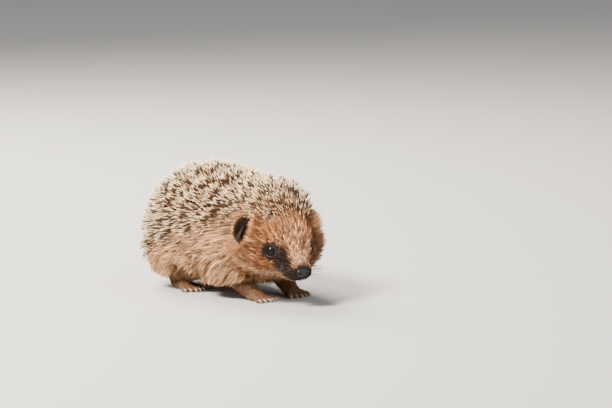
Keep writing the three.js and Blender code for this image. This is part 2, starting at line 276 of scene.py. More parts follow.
def limbs(p):
    """Four legs and the tail."""
    side = mirrored(p)
    legs = np.minimum(leg_distance(side, LEGS["front"]), leg_distance(side, LEGS["hind"]))
    return soften(legs, tapered_limb(p, TAIL_ROOT, TAIL_TIP, *TAIL_RADII), TAIL_BLEND)


print("toes:", 2 * len(LEGS) * len(TOE_SPREADS))

# %% Ears
EAR_TURN = np.array(
    Matrix.Rotation(math.radians(50), 3, "Z") @ Matrix.Rotation(math.radians(-12), 3, "Y")
)
EAR_RADII = np.array([4.2, 6.2, 8.7])
HOLLOW_AT, HOLLOW_RADII = (1.95, 0, 0.2), np.array([4.5, 5.3, 7.7])
EAR_FRONT = 1.7


def ear_frame(h):
    """Points seen from the middle of the ear on their side, with x out of its opening."""
    return (mirrored(h) - EAR_AT) @ EAR_TURN


def ear_blank(h):
    """The whole ear before its front is cut off and its hollow is taken out."""
    return ellipsoid(ear_frame(h), 0, EAR_RADII)


def ear_hollow(own):
    return ellipsoid(own, HOLLOW_AT, HOLLOW_RADII)


def ears(h):
    """The two ear cups, open to the front and outwards, with a fold inside."""
    own = ear_frame(h)
    shell = carve(ellipsoid(own, 0, EAR_RADII), EAR_FRONT - own[..., 0], 0.9)
    cup = carve(shell, ear_hollow(own), 0.6)
    fold = tapered_limb(own, (-0.6, 2.6, -6.5), (-1.2, 1.6, 2.5), 1.3, 0.5)
    return soften(cup, fold, 1.0)


print("ears stand", 2 * EAR_RADII[2], "mm high")

# %% [markdown]
# ## Lids, folds and mouth
# These small forms decide whether a face looks alive. Lids close over the ball like
# two lips, with a fold round them and another over the eye. They could be painted
# or bumped, but then they would have no edge from the side, so they are carved
# from the same field as the head.

# %% Eyelids and the folds round them
GAZE = unit(np.array([0.54, 0.8, 0.2]))
gaze_up = unit(np.array([0, 0, 1.0]) - GAZE * GAZE[2])
gaze_axes = np.stack([GAZE, np.cross(gaze_up, GAZE), gaze_up], 1)
LID_THICKNESS, SOCKET_ROOM = 0.6, 0.04


def eye_frame(h):
    """Points seen from the middle of the eye on their side, with x along its gaze."""
    return (mirrored(h) - EYE_AT) @ gaze_axes


def lids(whole, h):
    """Rounds two lids over each eye, opens them, and presses in the folds round them."""
    e = eye_frame(h)
    away = length(e)
    off_gaze = np.hypot(e[..., 1] / 1.05, e[..., 2])

    def groove(radius, ahead, thickness):
        """A groove in a ring round the gaze, ahead of the ball's middle."""
        return np.hypot(off_gaze - radius, e[..., 0] - ahead) - thickness

    whole = soften(whole, away - (EYE_RADIUS + LID_THICKNESS), 1.6)
    whole = carve(whole, groove(5.0, 1.7, 0.3), 0.8)
    whole = carve(whole, np.maximum(groove(6.6, 1.2, 0.4), 1.0 - e[..., 2]), 0.9)
    opening = ellipsoid(e, (4.0, 0, 0), (3.9, 3.85, 3.5))
    return carve(carve(whole, opening, 0.5), away - (EYE_RADIUS + SOCKET_ROOM), 0.05)


print("eye balls:", 2 * EYE_RADIUS, "mm across, looking along", GAZE.round(2))

# %% Mouth
LIP_HEIGHT, MOUTH_CORNER, SPLIT_START = -7.4, 9, 24


def mouth(whole, h):
    """A thin groove between upper lip and jaw, and the split under the nose."""
    side = np.abs(h[..., 1])
    lip_line = LIP_HEIGHT - 0.02 * (h[..., 0] - 16) ** 2
    behind = (MOUTH_CORNER + 0.3 * side) - h[..., 0]
    gap = np.maximum(np.abs(h[..., 2] - lip_line) - 0.32, behind)
    whole = carve(whole, np.maximum(gap, np.abs(whole) - 1.1), 0.5)
    split = np.maximum(side - 0.25, np.abs(whole) - 0.7)
    split = np.maximum(split, SPLIT_START - h[..., 0])
    return carve(whole, np.maximum(split, h[..., 2] + 3), 0.4)


print("the mouth runs from", MOUTH_CORNER, "mm ahead of the head's middle to the nose")

# %% The whole bare animal
LIMB_BLEND, EAR_BLEND, SOLE_HEIGHT = 3.0, 1.6, 0.06


def skin(p):
    """The whole bare animal: below zero inside, above zero outside."""
    h = to_head(p)
    whole = soften(flesh(p), limbs(p), LIMB_BLEND)
    whole = soften(whole, ears(h), EAR_BLEND)
    near_face = h[..., 0] > 0
    if near_face.any():
        face = lids(whole[near_face], h[near_face])
        whole[near_face] = mouth(face, h[near_face])
    return np.maximum(whole, SOLE_HEIGHT - p[..., 2])


CORNERS = np.array([(1, -1, -1), (-1, -1, 1), (-1, 1, -1), (1, 1, 1)], float)


def slope(p, field=skin, step=0.12):
    """The field's value and its outward direction at each point."""
    values = [field(p + corner * step) for corner in CORNERS]
    grade = sum(corner * value[..., None] for corner, value in zip(CORNERS, values))
    return sum(values) / 4, unit(grade)


print("the field in the middle of the hips:", skin(np.array([[0, 0, trunk_mid]])).round(1), "mm")

# %% [markdown]
# ## From the field to one skin
# A surface net lays one point in each grid cell that the skin passes through and
# joins neighbours by quads, which gives an even mesh with no poles. Metaballs and a
# voxel remesh work much like it, but they take no forms of one's own and no steps
# of two sizes. Here the grid is finer over the head, where the folds are, and
# coarser over the back, which spines will hide. Each point is then slid along the
# slope until it is on the skin.

# %% Surface net


def uneven(start, knee, end, coarse, fine):
    """Grid lines with coarse steps up to the knee and fine ones after it."""
    first = np.linspace(start, knee, int((knee - start) / coarse) + 1)
    return np.concatenate([first[:-1], np.linspace(knee, end, int((end - knee) / fine) + 1)])


SLAB = 16


def surface_net(field, axes):
    """Points and quads of the surface where the field is zero."""
    shape = [len(a) for a in axes]
    values = np.empty(shape)
    rest = np.stack(np.meshgrid(axes[1], axes[2], indexing="ij"), -1).reshape(-1, 2)
    for start in range(0, shape[0], SLAB):
        xs = axes[0][start : start + SLAB]
        p = np.concatenate([np.repeat(xs, len(rest))[:, None], np.tile(rest, (len(xs), 1))], 1)
        values[start : start + SLAB] = field(p).reshape(len(xs), shape[1], shape[2])
    inside = values < 0
    cells = tuple(n - 1 for n in shape)

    # each cell's point is the mean of the places where its edges cross the surface
    total, crossings = np.zeros(cells + (3,)), np.zeros(cells)
    grid = np.stack(np.meshgrid(*axes, indexing="ij"), -1)
    for axis in range(3):
        a = tuple(slice(0, -1) if k == axis else slice(None) for k in range(3))
        b = tuple(slice(1, None) if k == axis else slice(None) for k in range(3))
        cut = inside[a] != inside[b]
        t = np.where(cut, values[a] / np.where(cut, values[a] - values[b], 1), 0)
        place = np.where(cut[..., None], grid[a] + (grid[b] - grid[a]) * t[..., None], 0)
        others = [k for k in range(3) if k != axis]
        for i in (0, 1):
            for j in (0, 1):
                s = [slice(None)] * 3
                s[others[0]] = slice(i, i + cells[others[0]])
                s[others[1]] = slice(j, j + cells[others[1]])
                total += place[tuple(s)]
                crossings += cut[tuple(s)]
    mixed = crossings > 0
    index = np.full(cells, -1)
    index[mixed] = np.arange(mixed.sum())
    points = total[mixed] / crossings[mixed][:, None]

    # each crossed edge gets a quad of the four cells round it, facing outwards
    quads = []
    for axis in range(3):
        a = tuple(slice(0, -1) if k == axis else slice(1, -1) for k in range(3))
        b = tuple(slice(1, None) if k == axis else slice(1, -1) for k in range(3))
        at = np.argwhere(inside[a] != inside[b])
        outward = inside[a][tuple(at.T)]
        others = [k for k in range(3) if k != axis]
        at = at + [int(k != axis) for k in range(3)]
        ring = []
        for i, j in ((0, 0), (1, 0), (1, 1), (0, 1)):
            cell = at.copy()
            cell[:, others[0]] -= 1 - i
            cell[:, others[1]] -= 1 - j
            ring.append(index[tuple(cell.T)])
        ring = np.stack(ring, 1)
        flip = outward if axis != 1 else ~outward
        quads.append(np.where(flip[:, None], ring, ring[:, ::-1]))
    return points, np.concatenate(quads)


MOST_SLIDE = 0.4


def settle(points, field, rounds=3):
    """Slides points along the slope onto the surface."""
    for _ in range(rounds):
        value, outward = slope(points, field)
        points = points - outward * np.clip(value, -MOST_SLIDE, MOST_SLIDE)[:, None]
    return points


coarse = np.arange(-6.5, 7.0)
test_points, _ = surface_net(lambda p: length(p) - 5, (coarse,) * 3)
print("a ball 10 mm across takes", len(test_points), "points on a grid of 1 mm")

# %% [markdown]
# ## Meshes, and what their points remember
# Blender can add faces one by one, but a coat has over a million of them. Whole
# arrays of points and faces go in at once instead, which takes a second. Numbers
# kept on the points, such as a colour or a place along the hair, let one material
# vary from hair to hair without any picture.

# %% Mesh objects


def add_mesh(name, points, faces, material):
    """A mesh object from points in sculpt millimetres and arrays of faces."""
    data = bpy.data.meshes.new(name)
    loops = np.concatenate([f.ravel() for f in faces])
    sizes = np.concatenate([np.full(len(f), f.shape[1]) for f in faces])
    data.vertices.add(len(points))
    data.vertices.foreach_set("co", ((points + shift) * MM).astype(np.float32).ravel())
    data.loops.add(len(loops))
    data.loops.foreach_set("vertex_index", loops.astype(np.int32))
    data.polygons.add(len(sizes))
    data.polygons.foreach_set("loop_start", (np.cumsum(sizes) - sizes).astype(np.int32))
    data.update(calc_edges=True)
    data.polygons.foreach_set("use_smooth", np.full(len(sizes), True))
    data.validate()
    data.materials.append(material)
    made = bpy.data.objects.new(name, data)
    bpy.context.scene.collection.objects.link(made)
    print(f"{name}: {len(points)} points, {(sizes - 2).sum()} triangles")
    return made


def keep_values(piece, name, values):
    """Stores one number or one colour per point, for the materials to read."""
    kind, key = ("FLOAT", "value") if values.ndim == 1 else ("FLOAT_COLOR", "color")
    layer = piece.data.attributes.new(name, kind, "POINT")
    layer.data.foreach_set(key, values.astype(np.float32).ravel())


def with_alpha(colours):
    return np.concatenate([colours, np.ones((len(colours), 1))], 1)


# %% Points of the skin
TAIL_END, BEHIND_FACE, NOSE_END = -62, 38, 86
COARSE_STEP, FINE_STEP = 1.25, 0.6
axes = (
    uneven(TAIL_END, BEHIND_FACE, NOSE_END, COARSE_STEP, FINE_STEP),
    np.linspace(-43, 43, 116),
    np.linspace(-0.7, 70.3, 96),
)
skin_points, skin_quads = surface_net(skin, axes)
skin_points = settle(skin_points, skin)
print("skin:", len(skin_points), "points,", 2 * len(skin_quads), "triangles")

# %% [markdown]
# ## Where spines end and fur begins
# On the living animal the spines stop at a skirt along the flank and in a shallow
# arch over the brow. Face, flanks and belly have hair. Such borders could be
# painted by hand as masks. Here they are the same formulas as in the solids, so
# that the coat fills the depth left for it.

# %% Coat depth and regions
SPINE_REACH, FLANK_FUR, BELLY_FUR, FACE_FUR = 12.5, 7.5, 3.0, 1.8


def spiny(p, h):
    """1 where only spines grow and 0 where only hair grows."""
    skirt = 24 + 0.2 * (p[..., 0] + 55)
    over_skirt = ramp(p[..., 2], skirt - 8, skirt + 14)
    brow = 3 - 0.04 * h[..., 1] ** 2
    behind_brow = ramp(brow - h[..., 0], -2, 15)
    over_ears = ramp(h[..., 2], 8, 24)
    on_head = ramp(h[..., 0], -28, -10)
    return over_skirt * mix(1, behind_brow * over_ears, on_head)


def on_back(p, h):
    """As above, but lower on the rear flanks, where short spines lie over the hair."""
    drop = 6.5 * ramp(-p[..., 0], -10, 25) * ramp(np.abs(p[..., 1]), 8, 18)
    return spiny(p + drop[..., None] * (0, 0, 1), h)


def spined(p, h):
    """Where spines grow at all: they start short, well down on the brow."""
    on_brow = spiny(p, h - (21, 3, -4)) * ramp(h[..., 2], 9, 14)
    return np.maximum(on_back(p, h), on_brow) * ramp(ear_blank(h), 1.5, 3.5)


def to_eye(h):
    return length(mirrored(h) - EYE_AT)


def coat_depth(p, h):
    """How far the coat reaches over the bare skin, in millimetres."""
    on_face = ramp(h[..., 0], -9, 9)
    underside = ramp(-p[..., 2], -13, -6)
    fur = mix(mix(FLANK_FUR, BELLY_FUR, underside), FACE_FUR, on_face)
    short = mix(fur, FACE_FUR * 0.35, ramp(h[..., 0], 12, 24)) * ramp(to_eye(h), 3, 9)
    from_ear = mix(0.3, 1, ramp(length(mirrored(h) - EAR_AT), 7, 17))
    return mix(short, SPINE_REACH, spiny(p, h)) * from_ear


on_spine = np.array([[0.0, 0.0, BACK_HEIGHT]])
print("the coat over the back is", coat_depth(on_spine, to_head(on_spine)).round(1), "mm deep")

# %% [markdown]
# ## One set of markings for skin and coat
# Skin and hair get their colours from one formula of the place on the body. A dark
# mask runs from the eye to the muzzle, the bridge is paler, cheeks are rusty, and
# flanks are cream. Each piece could be painted by itself, but with one formula the
# skin never shows through as a different animal.

# %% Colours of the coat


def paint(red, green, blue):
    """A colour given as on a screen, turned to the linear light that shaders use."""
    c = np.array([red, green, blue]) / 255
    return np.where(c <= 0.04045, c / 12.92, ((c + 0.055) / 1.055) ** 2.4)


CREAM, TAN, PALE_BRIDGE = paint(200, 154, 114), paint(150, 93, 50), paint(206, 154, 114)
# The third colour here is the ears' dark skin, painted darker still with the shade of their
# hollows.
RUST, MASK, EAR_SKIN_AND_SHADE = paint(124, 78, 46), paint(39, 25, 17), paint(46, 30, 21)
# The last colour here is painted shade, the dark brown of the gaps deep among the spines.
LEG_FUR, FOOT_SKIN, SHADE_AMONG_SPINES = paint(140, 102, 72), paint(120, 88, 72), paint(66, 48, 36)
# The second colour here is a painted highlight, the sheen on the wet rims of the lids.
LID_SKIN, LID_EDGE_SHEEN = paint(34, 25, 21), paint(72, 56, 48)
print("cream in linear light:", CREAM.round(3))

# %% Markings
# This shift is painted light: it paints the left side of the snout paler, as if light fell on it.
RIDGE_SHIFT = 2.0  # the pale bridge lies a little to the animal's left of the middle


def over(base, colour, share):
    """A colour laid over another, with its share from 0 to 1 at each point."""
    return mix(base, colour, share[..., None])


def mask(h):
    """How much of the dark mask there is: sides of the snout, stripe, tip and eye ring."""
    x, z = h[..., 0], h[..., 2]
    off_ridge = np.abs(h[..., 1] - RIDGE_SHIFT)
    start = 8.5 + 5 * ramp(-z, -1.5, 2.5)
    ahead = ramp(x, start, start + 4.5)
    snout_side = ahead * ramp(off_ridge, 4.9, 8.1) * ramp(z, -8, -4) * (1 - ramp(z, 4.5, 8.5))
    eye_to_muzzle = tapered_limb(mirrored(h), EYE_AT - (0, 0.2, 1.4), (24, 6.6, -5.4), 0.6, 2.6)
    stripe = (1 - ramp(eye_to_muzzle, 1.2, 4.2)) * ahead
    tip = np.maximum(ramp(x, 22, 26) * ramp(-z, 0.8, 3.0), ramp(x, 27.5, 29))
    return snout_side, stripe, tip, 1 - ramp(to_eye(h), 4.6, 5.9)


def markings(p):
    """The coat's colour at points of the body."""
    h = to_head(p)
    x, y, z = h[..., 0], np.abs(h[..., 1]), h[..., 2]
    colour = np.broadcast_to(CREAM, p.shape)
    colour = over(colour, TAN, ramp(x, -16, -4))
    cheek = ramp(y, 9, 17) * ramp(z, -14, -6) * ramp(-z, -10, -2) * ramp(x, -12, -4)
    colour = over(colour, RUST, cheek * 0.85)
    colour = over(colour, CREAM * 0.8, ramp(-z, 6, 11) * 0.8)
    off_ridge = np.abs(h[..., 1] - RIDGE_SHIFT)
    bridge = ramp(x, 8, 16) * ramp(z, -4, 1) * (1 - 0.5 * ramp(off_ridge, 6.5, 9.5))
    colour = over(colour, PALE_BRIDGE, bridge)
    for share in mask(h):
        colour = over(colour, MASK, share)
    colour = over(colour, RUST, 1 - ramp(ear_blank(h), 0.8, 2.4))
    return over(colour, LEG_FUR, 1 - ramp(limbs(p) - flesh(p), -2.0, 0.5))


print("cheek colour:", markings(from_head(np.array([[-2.0, 21.0, -6.0]]))).round(3))

# %% [markdown]
# ## Skin finish
# Bare skin shows only on the feet, in the ears and round the eyes. Elsewhere it
# lies under the coat and only has to be as dark as the shade between hairs. A fine
# bump stands for the shortest down, which would need a hundred thousand more hairs.

# %% Helpers for materials


def new_material(name, roughness, **sockets):
    """A material with values for its shader's sockets, a _ for each space in a name."""
    made = bpy.data.materials.new(name)
    made.use_nodes = True
    shader = made.node_tree.nodes["Principled BSDF"]
    shader.inputs["Roughness"].default_value = roughness
    for socket, value in sockets.items():
        shader.inputs[socket.replace("_", " ")].default_value = value
    print("material:", name)
    return made, made.node_tree, shader


def node(tree, kind, inputs=(), **settings):
    """A node whose inputs are given as values, or as sockets to link from."""
    made = tree.nodes.new(kind)
    for key, value in settings.items():
        setattr(made, key, value)
    for key, value in dict(inputs).items():
        if isinstance(value, bpy.types.NodeSocket):
            tree.links.new(value, made.inputs[key])
        else:
            made.inputs[key].default_value = value
    return made


def attribute(tree, name):
    return node(tree, "ShaderNodeAttribute", attribute_name=name)


def texture(tree, kind, **inputs):
    """A texture that lies fixed in the model."""
    place = node(tree, "ShaderNodeTexCoord").outputs["Object"]
    return node(tree, kind, {"Vector": place, **inputs})


def add_bump(tree, shader, height, strength, distance):
    bump = node(
        tree, "ShaderNodeBump", {"Strength": strength, "Distance": distance, "Height": height}
    )
    tree.links.new(bump.outputs["Normal"], shader.inputs["Normal"])


def times(tree, first, second):
    both = node(tree, "ShaderNodeVectorMath", {0: first, 1: second}, operation="MULTIPLY")
    return both.outputs["Vector"]


def tinted(tree, colour, fac, dark, light):
    """The colour times a grey that runs from dark to light with fac."""
    grey = node(tree, "ShaderNodeMapRange", {"Value": fac, "To Min": dark, "To Max": light})
    return times(tree, colour, grey.outputs["Result"])


def between(tree, fac, first, second):
    """A colour that runs from the first to the second with fac."""
    colours = {6: (*first, 1), 7: (*second, 1), "Factor": fac}
    return node(tree, "ShaderNodeMix", colours, data_type="RGBA").outputs[2]


# %% Skin finish
DOWN_SCALE, DOWN_HEIGHT = 1400.0, 0.0004
skin_material, tree, shader = new_material("skin", 0.7, Specular_IOR_Level=0.25)
grain = texture(tree, "ShaderNodeTexNoise", Scale=DOWN_SCALE, Detail=3.0).outputs["Fac"]
add_bump(tree, shader, grain, 0.5, DOWN_HEIGHT)
shade = tinted(tree, attribute(tree, "marking").outputs["Color"], grain, 0.75, 1.2)
tree.links.new(shade, shader.inputs["Base Color"])

# %% [markdown]
# ## The one skin
# It stands for trunk, neck, head, jaw, ears, legs and tail, with no seam between
# them. Its colours are the markings, darkened with painted shade where hair or
# spines cover it, nearly black round the eyes with a painted highlight on the rims
# of the lids, dark in the ears with painted shade in their hollows, and brown on the
# bare feet. They are kept on its points, which are close enough together to need
# no picture.

# %% Skin colours
# The skin is darkened with painted shade under the coat, and more among the spines, where little
# light reaches.
SHADE_UNDER_COAT, SHADE_BETWEEN_SPINES, SHADE_IN_EAR_CUP = 0.55, 0.6, 0.4
h = to_head(skin_points)
own = ear_frame(h)
colours = over(
    markings(skin_points) * SHADE_UNDER_COAT, SHADE_AMONG_SPINES * SHADE_BETWEEN_SPINES, spined(skin_points, h)
)
# The ear is lined with its dark skin, painted darker with the shade deep in its hollow and browner
# towards the lower back of the cup; the skin seen inside the cup gets painted shade too.
in_hollow = (1 - ramp(ear_hollow(own), 0.0, 0.6)) * (1 - ramp(own[:, 0], 1.4, 2.6))
lining = (1 - ramp(ears(h), 0.0, 0.5)) * (ear_blank(h) < 0.6)
less_ear_shade = ramp(-own[:, 1], -1, 4) * ramp(-own[:, 2], -4, 3)
colours = over(colours, over(EAR_SKIN_AND_SHADE, RUST, less_ear_shade), np.maximum(lining, in_hollow))
colours = over(colours, RUST * SHADE_IN_EAR_CUP, in_hollow * ramp(ears(h), 0.2, 0.8))
foot = (1 - ramp(skin_points[:, 2], 1.5, 4.5)) * (limbs(skin_points) < 0.3)
colours = over(colours, FOOT_SKIN, foot)
colours = over(colours, LID_SKIN, 1 - ramp(to_eye(h), EYE_RADIUS + 1.5, EYE_RADIUS + 2.6))
# A paler ring on each lid's rim is a painted highlight, the sheen of its wet edge.
colours = over(colours, LID_EDGE_SHEEN, 1 - ramp(to_eye(h), EYE_RADIUS + 0.5, EYE_RADIUS + 0.95))
print("bare foot:", int((foot > 0.5).sum()), "points")

# %% Skin piece
skin_piece = add_mesh("skin", skin_points, [skin_quads], skin_material)
keep_values(skin_piece, "marking", with_alpha(colours))
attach(skin_piece, "root")
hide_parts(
    "trunk", "neck", "head", "jaw", "ear_left", "ear_right", "tail",
    "leg_front_left", "leg_front_right", "leg_hind_left", "leg_hind_right",
)

# %% [markdown]
# ## Eyes
# A hedgehog's eye is a small, bulging, almost black ball with a wet shine and a
# thin grey ring at its edge. A sphere from the menu would do for the ball, but its
# rings would not lie round the line of sight, where the ring's colour has to change.
# So each ball is laid out round its gaze, as deep as the lids allow.

# %% Eye balls
BULGE = 0.045


def ball(radius, rings=28, sectors=40):
    """Points and faces of a ball round the x axis, with a slight bulge in front."""
    angles = np.linspace(0, math.pi, rings + 1)[1:-1]
    bulge = 1 + BULGE * np.exp(-((angles / 0.75) ** 2))
    around = np.linspace(0, 2 * math.pi, sectors, endpoint=False)
    x = (np.cos(angles) * bulge)[:, None] * np.ones(sectors)
    y = (np.sin(angles) * bulge)[:, None] * np.cos(around)
    z = (np.sin(angles) * bulge)[:, None] * np.sin(around)
    points = np.stack([x, y, z], -1).reshape(-1, 3)
    poles = np.array([[1 + BULGE, 0, 0], [-1, 0, 0]])
    grid = np.arange(len(points)).reshape(rings - 1, sectors)
    after = np.roll(grid, -1, 1)
    quads = np.stack([grid[:-1], grid[1:], after[1:], after[:-1]], -1).reshape(-1, 4)
    front = np.stack([after[0], grid[0], np.full(sectors, len(points))], 1)
    back = np.stack([grid[-1], after[-1], np.full(sectors, len(points) + 1)], 1)
    return np.concatenate([points, poles]) * radius, [quads, front, back]


ball_points, ball_faces = ball(EYE_RADIUS)
print("an eye ball has", len(ball_points), "points")

# %% Eye finish
PUPIL, IRIS = (0.006, 0.0045, 0.004), (0.03, 0.023, 0.02)
eye_material, tree, shader = new_material("eye", 0.05, IOR=1.36, Specular_IOR_Level=0.32)
ring = node(
    tree, "ShaderNodeMapRange",
    {"Value": attribute(tree, "from_sight").outputs["Fac"], "From Min": 0.70, "From Max": 0.92},
)
iris = between(tree, ring.outputs["Result"], PUPIL, IRIS)
tree.links.new(iris, shader.inputs["Base Color"])

# %% Eye pieces
from_sight = np.arccos(np.clip(ball_points[:, 0] / length(ball_points), -1, 1))
for side, name in ((1, "left"), (-1, "right")):
    own = (ball_points @ gaze_axes.T + EYE_AT) * (1, side, 1)
    faces = ball_faces if side > 0 else [f[:, ::-1] for f in ball_faces]
    eye = add_mesh(f"eye_ball_{name}", from_head(own), faces, eye_material)
    keep_values(eye, "from_sight", from_sight)
    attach(eye, "root")
    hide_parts(f"eye_{name}")

# %% [markdown]
# ## Nose
# The tip of the snout is a bare, wet, dark pad with two comma-shaped nostrils and
# a groove between them. It could be a part of the skin, but as a small field of its
# own it has a grid fine enough for the nostrils, and a finish of its own.

# %% Nose pad


def nose_field(n):
    """The pad round its own middle, in the head's directions."""
    side = mirrored(n)
    pad = ellipsoid(n, 0, (2.8, 3.6, 2.9))
    wings = ellipsoid(side, (0.3, 2.2, -0.4), (2.1, 1.7, 2.0))
    whole = soften(pad, wings, 0.8)
    nostril = tapered_limb(side, (2.6, 1.5, 0.1), (0.9, 3.6, -0.9), 0.75, 0.4)
    groove = np.maximum(np.abs(n[..., 1]) - 0.12, np.abs(whole) - 0.45)
    groove = np.maximum(groove, n[..., 2] - 1.2)
    return carve(carve(whole, nostril, 0.45), groove, 0.3)


print("the nose's field near its middle:", nose_field(np.array([[0.0, 0.0, 1.0]])).round(1), "mm")

# %% Nose piece
NOSE_STEP, NOSE_HALF = 0.22, 4.6
fine = np.arange(-NOSE_HALF, NOSE_HALF + 0.01, NOSE_STEP)
nose_points, nose_quads = surface_net(nose_field, (fine, fine, fine))
nose_points = settle(nose_points, nose_field)
nose_material, tree, shader = new_material(
    "nose", 0.36, Coat_Weight=0.2, Coat_Roughness=0.2, IOR=1.36,
    Base_Color=(0.012, 0.0095, 0.009, 1),
)
cells = texture(tree, "ShaderNodeTexVoronoi", Scale=2600.0)
add_bump(tree, shader, cells.outputs["Distance"], 0.35, 0.0002)
nose = add_mesh("nose_pad", from_head(nose_points + NOSE_AT), [nose_quads], nose_material)
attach(nose, "root")
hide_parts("nose")

# %% [markdown]
# ## Thin solids for hairs and spines
# Every hair or spine is a line of points with a ring of corners round each of them
# and a point at its tip. Flat ribbons would be lighter, but they vanish from the
# side. Its map, OFBake, is a small patch at the place of its root on an unwrap of
# the body, a ball unfolded to a square, so a bake keeps each hair's own colours
# next to those of its neighbours.

# %% Patches on the bake map
PATCH = 0.003


def unwrap(p, centre, radii):
    """A place in the unit square for each direction from the centre."""
    d = (p - centre) / radii
    d = d / np.abs(d).sum(-1, keepdims=True)
    flat = d[..., :2]
    sign = np.where(flat >= 0, 1, -1)
    folded = (1 - np.abs(flat[..., ::-1])) * sign
    return 0.5 + 0.48 * np.where(d[..., 2:] < 0, folded, flat)


def strand_faces(sides, rings):
    """Faces of one strand by numbers of corners, and each corner's place on its patch."""
    quads, quad_map, tips, tip_map = [], [], [], []
    last = rings - 1
    for s in range(sides):
        t = (s + 1) % sides
        for r in range(last):
            a, b = r * sides, (r + 1) * sides
            quads.append((a + s, a + t, b + t, b + s))
            quad_map.append(((s, r), (s + 1, r), (s + 1, r + 1), (s, r + 1)))
        tips.append((last * sides + s, last * sides + t, rings * sides))
        tip_map.append(((s, last), (s + 1, last), (s + 0.5, rings)))
    cap = [tuple(range(sides))[::-1]]
    turns = -2 * math.pi * np.arange(sides) / sides
    cap_map = [[((0.5 + 0.4 * math.cos(a)) * sides, -0.5 + 0.4 * math.sin(a)) for a in turns]]
    size = np.array([sides, rings + 1.0])
    maps = [(np.array(m, float) + (0, 1)) / size - 0.5 for m in (quad_map, tip_map, cap_map)]
    return (quads, tips, cap), maps


print("faces of a spine:", sum(len(f) for f in strand_faces(5, 4)[0]))

# %% Strand meshes
ABOVE_FLOOR = 0.3


def strand_mesh(name, lines, girth, up, sides, material, places, colours, flat=1.0):
    """Joins one thin solid per line. girth has one radius per ring, all but the tip."""
    count, steps = lines.shape[:2]
    rings = steps - 1
    lines = np.maximum(lines, (-np.inf, -np.inf, ABOVE_FLOOR))
    run = unit(np.gradient(lines, axis=1))
    across = unit(np.cross(run, up[:, None]))
    above = np.cross(across, run)
    angle = 2 * math.pi * np.arange(sides) / sides
    spokes = (
        across[:, :rings, None] * np.cos(angle)[:, None]
        + above[:, :rings, None] * np.sin(angle)[:, None] * flat
    )
    corners = lines[:, :rings, None] + spokes * girth[:, :, None, None]
    points = np.concatenate([corners.reshape(count, -1, 3), lines[:, -1:]], 1)
    per = points.shape[1]
    one, maps = strand_faces(sides, rings)
    first = (np.arange(count) * per)[:, None, None]
    faces = [(first + np.array(f)).reshape(-1, len(f[0])) for f in one]
    piece = add_mesh(name, points.reshape(-1, 3), faces, material)
    patches = [(places[:, None, None] + m * PATCH).reshape(-1, 2) for m in maps]
    layer = piece.data.uv_layers.new(name="OFBake")
    layer.data.foreach_set("uv", np.concatenate(patches).astype(np.float32).ravel())
    along = np.append(np.repeat(np.linspace(0, 1, steps)[:-1], sides), 1.0)
    keep_values(piece, "along", np.tile(along, count))
    keep_values(piece, "marking", np.repeat(with_alpha(colours), per, 0))
    keep_values(piece, "chance", np.repeat(rng.random(count), per))
    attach(piece, "root")
    return piece


def quarters(side, first, names):
    """Splits strands into left and right and each side in two, so that no piece is heavy."""
    for hand, mine in (("left", side > 0), ("right", side <= 0)):
        for name, chosen in zip(names, (first, ~first)):
            yield f"{name}_{hand}", np.where(mine & chosen)[0]


print("no strand is lower than", ABOVE_FLOOR, "mm over the floor")

# %% [markdown]
# ## Roots
# Real hairs are spread at random but evenly. A particle system would scatter them,
# but it can't ask for the borders of spines and fur. So faces of the skin are
# drawn by chance, by their area and by how thick the coat is there, and a root is
# put at a random place on each.

# %% Roots on the skin
face_corners = skin_points[skin_quads]
diagonals = face_corners[:, 2] - face_corners[:, 0], face_corners[:, 3] - face_corners[:, 1]
face_area = length(np.cross(*diagonals)) / 2
face_middle = face_corners.mean(1)
print("skin area:", round(face_area.sum() / 100), "square centimetres")


def pick_roots(count, density):
    """Random places on the skin, as thick as density says at each face's middle."""
    weight = face_area * density(face_middle)
    chosen = rng.choice(len(weight), count, p=weight / weight.sum())
    u, v = rng.random((2, count, 1))
    a, b, c, d = (face_corners[chosen, k] for k in range(4))
    return settle(mix(mix(a, b, u), mix(d, c, u), v), skin, 1)


def nearest(points, leaders):
    """For each point, the number of the leader that is nearest."""
    tree = KDTree(len(leaders))
    for i, leader in enumerate(leaders):
        tree.insert(leader, i)
    tree.balance()
    return np.array([tree.find(point)[1] for point in points])


def keep_apart(points, spacing):
    """Drops each point that is nearer than the spacing to one kept before it."""
    kept, taken = [], {}
    cells = np.floor(points / spacing).astype(int)
    around = [(x, y, z) for x in (-1, 0, 1) for y in (-1, 0, 1) for z in (-1, 0, 1)]
    for i, (point, cell) in enumerate(zip(points, cells)):
        near = [k for step in around for k in taken.get(tuple(cell + step), ())]
        if near and length(points[near] - point).min() < spacing:
            continue
        taken.setdefault(tuple(cell), []).append(i)
        kept.append(i)
    return points[kept]


def along_skin(v, outward):
    """The part of a direction that runs along the skin, one unit long."""
    return unit(v - outward * (v * outward).sum(-1, keepdims=True))


# %% [markdown]
# ## Spines
# A spine is a stiff, hollow, straight hair a little under a millimetre thick,
# thinner at its root and sharp at its tip. Spines stand nearly upright over the
# crown and lie back along the flanks, in loose tufts that cross each other. Copies
# of one spine would show as a pattern, so each is grown on its own place on the
# skin, with its own length and lean.

# %% Where each spine grows
SPINE_TRIES, SPINE_SPACING, SPINES_PER_TUFT = 40000, 1.03, 9
candidates = pick_roots(SPINE_TRIES, lambda p: spined(p, to_head(p)) > 0.2)
roots = keep_apart(candidates, SPINE_SPACING)
h = to_head(roots)
share = spined(roots, h)
keep = rng.random(len(roots)) < ramp(share, 0.14, 0.62)
roots, h, share = roots[keep], h[keep], share[keep]
leaders = rng.choice(len(roots), len(roots) // SPINES_PER_TUFT, replace=False)
tuft = nearest(roots, roots[leaders])
print("spines:", len(roots), "in", len(leaders), "tufts")

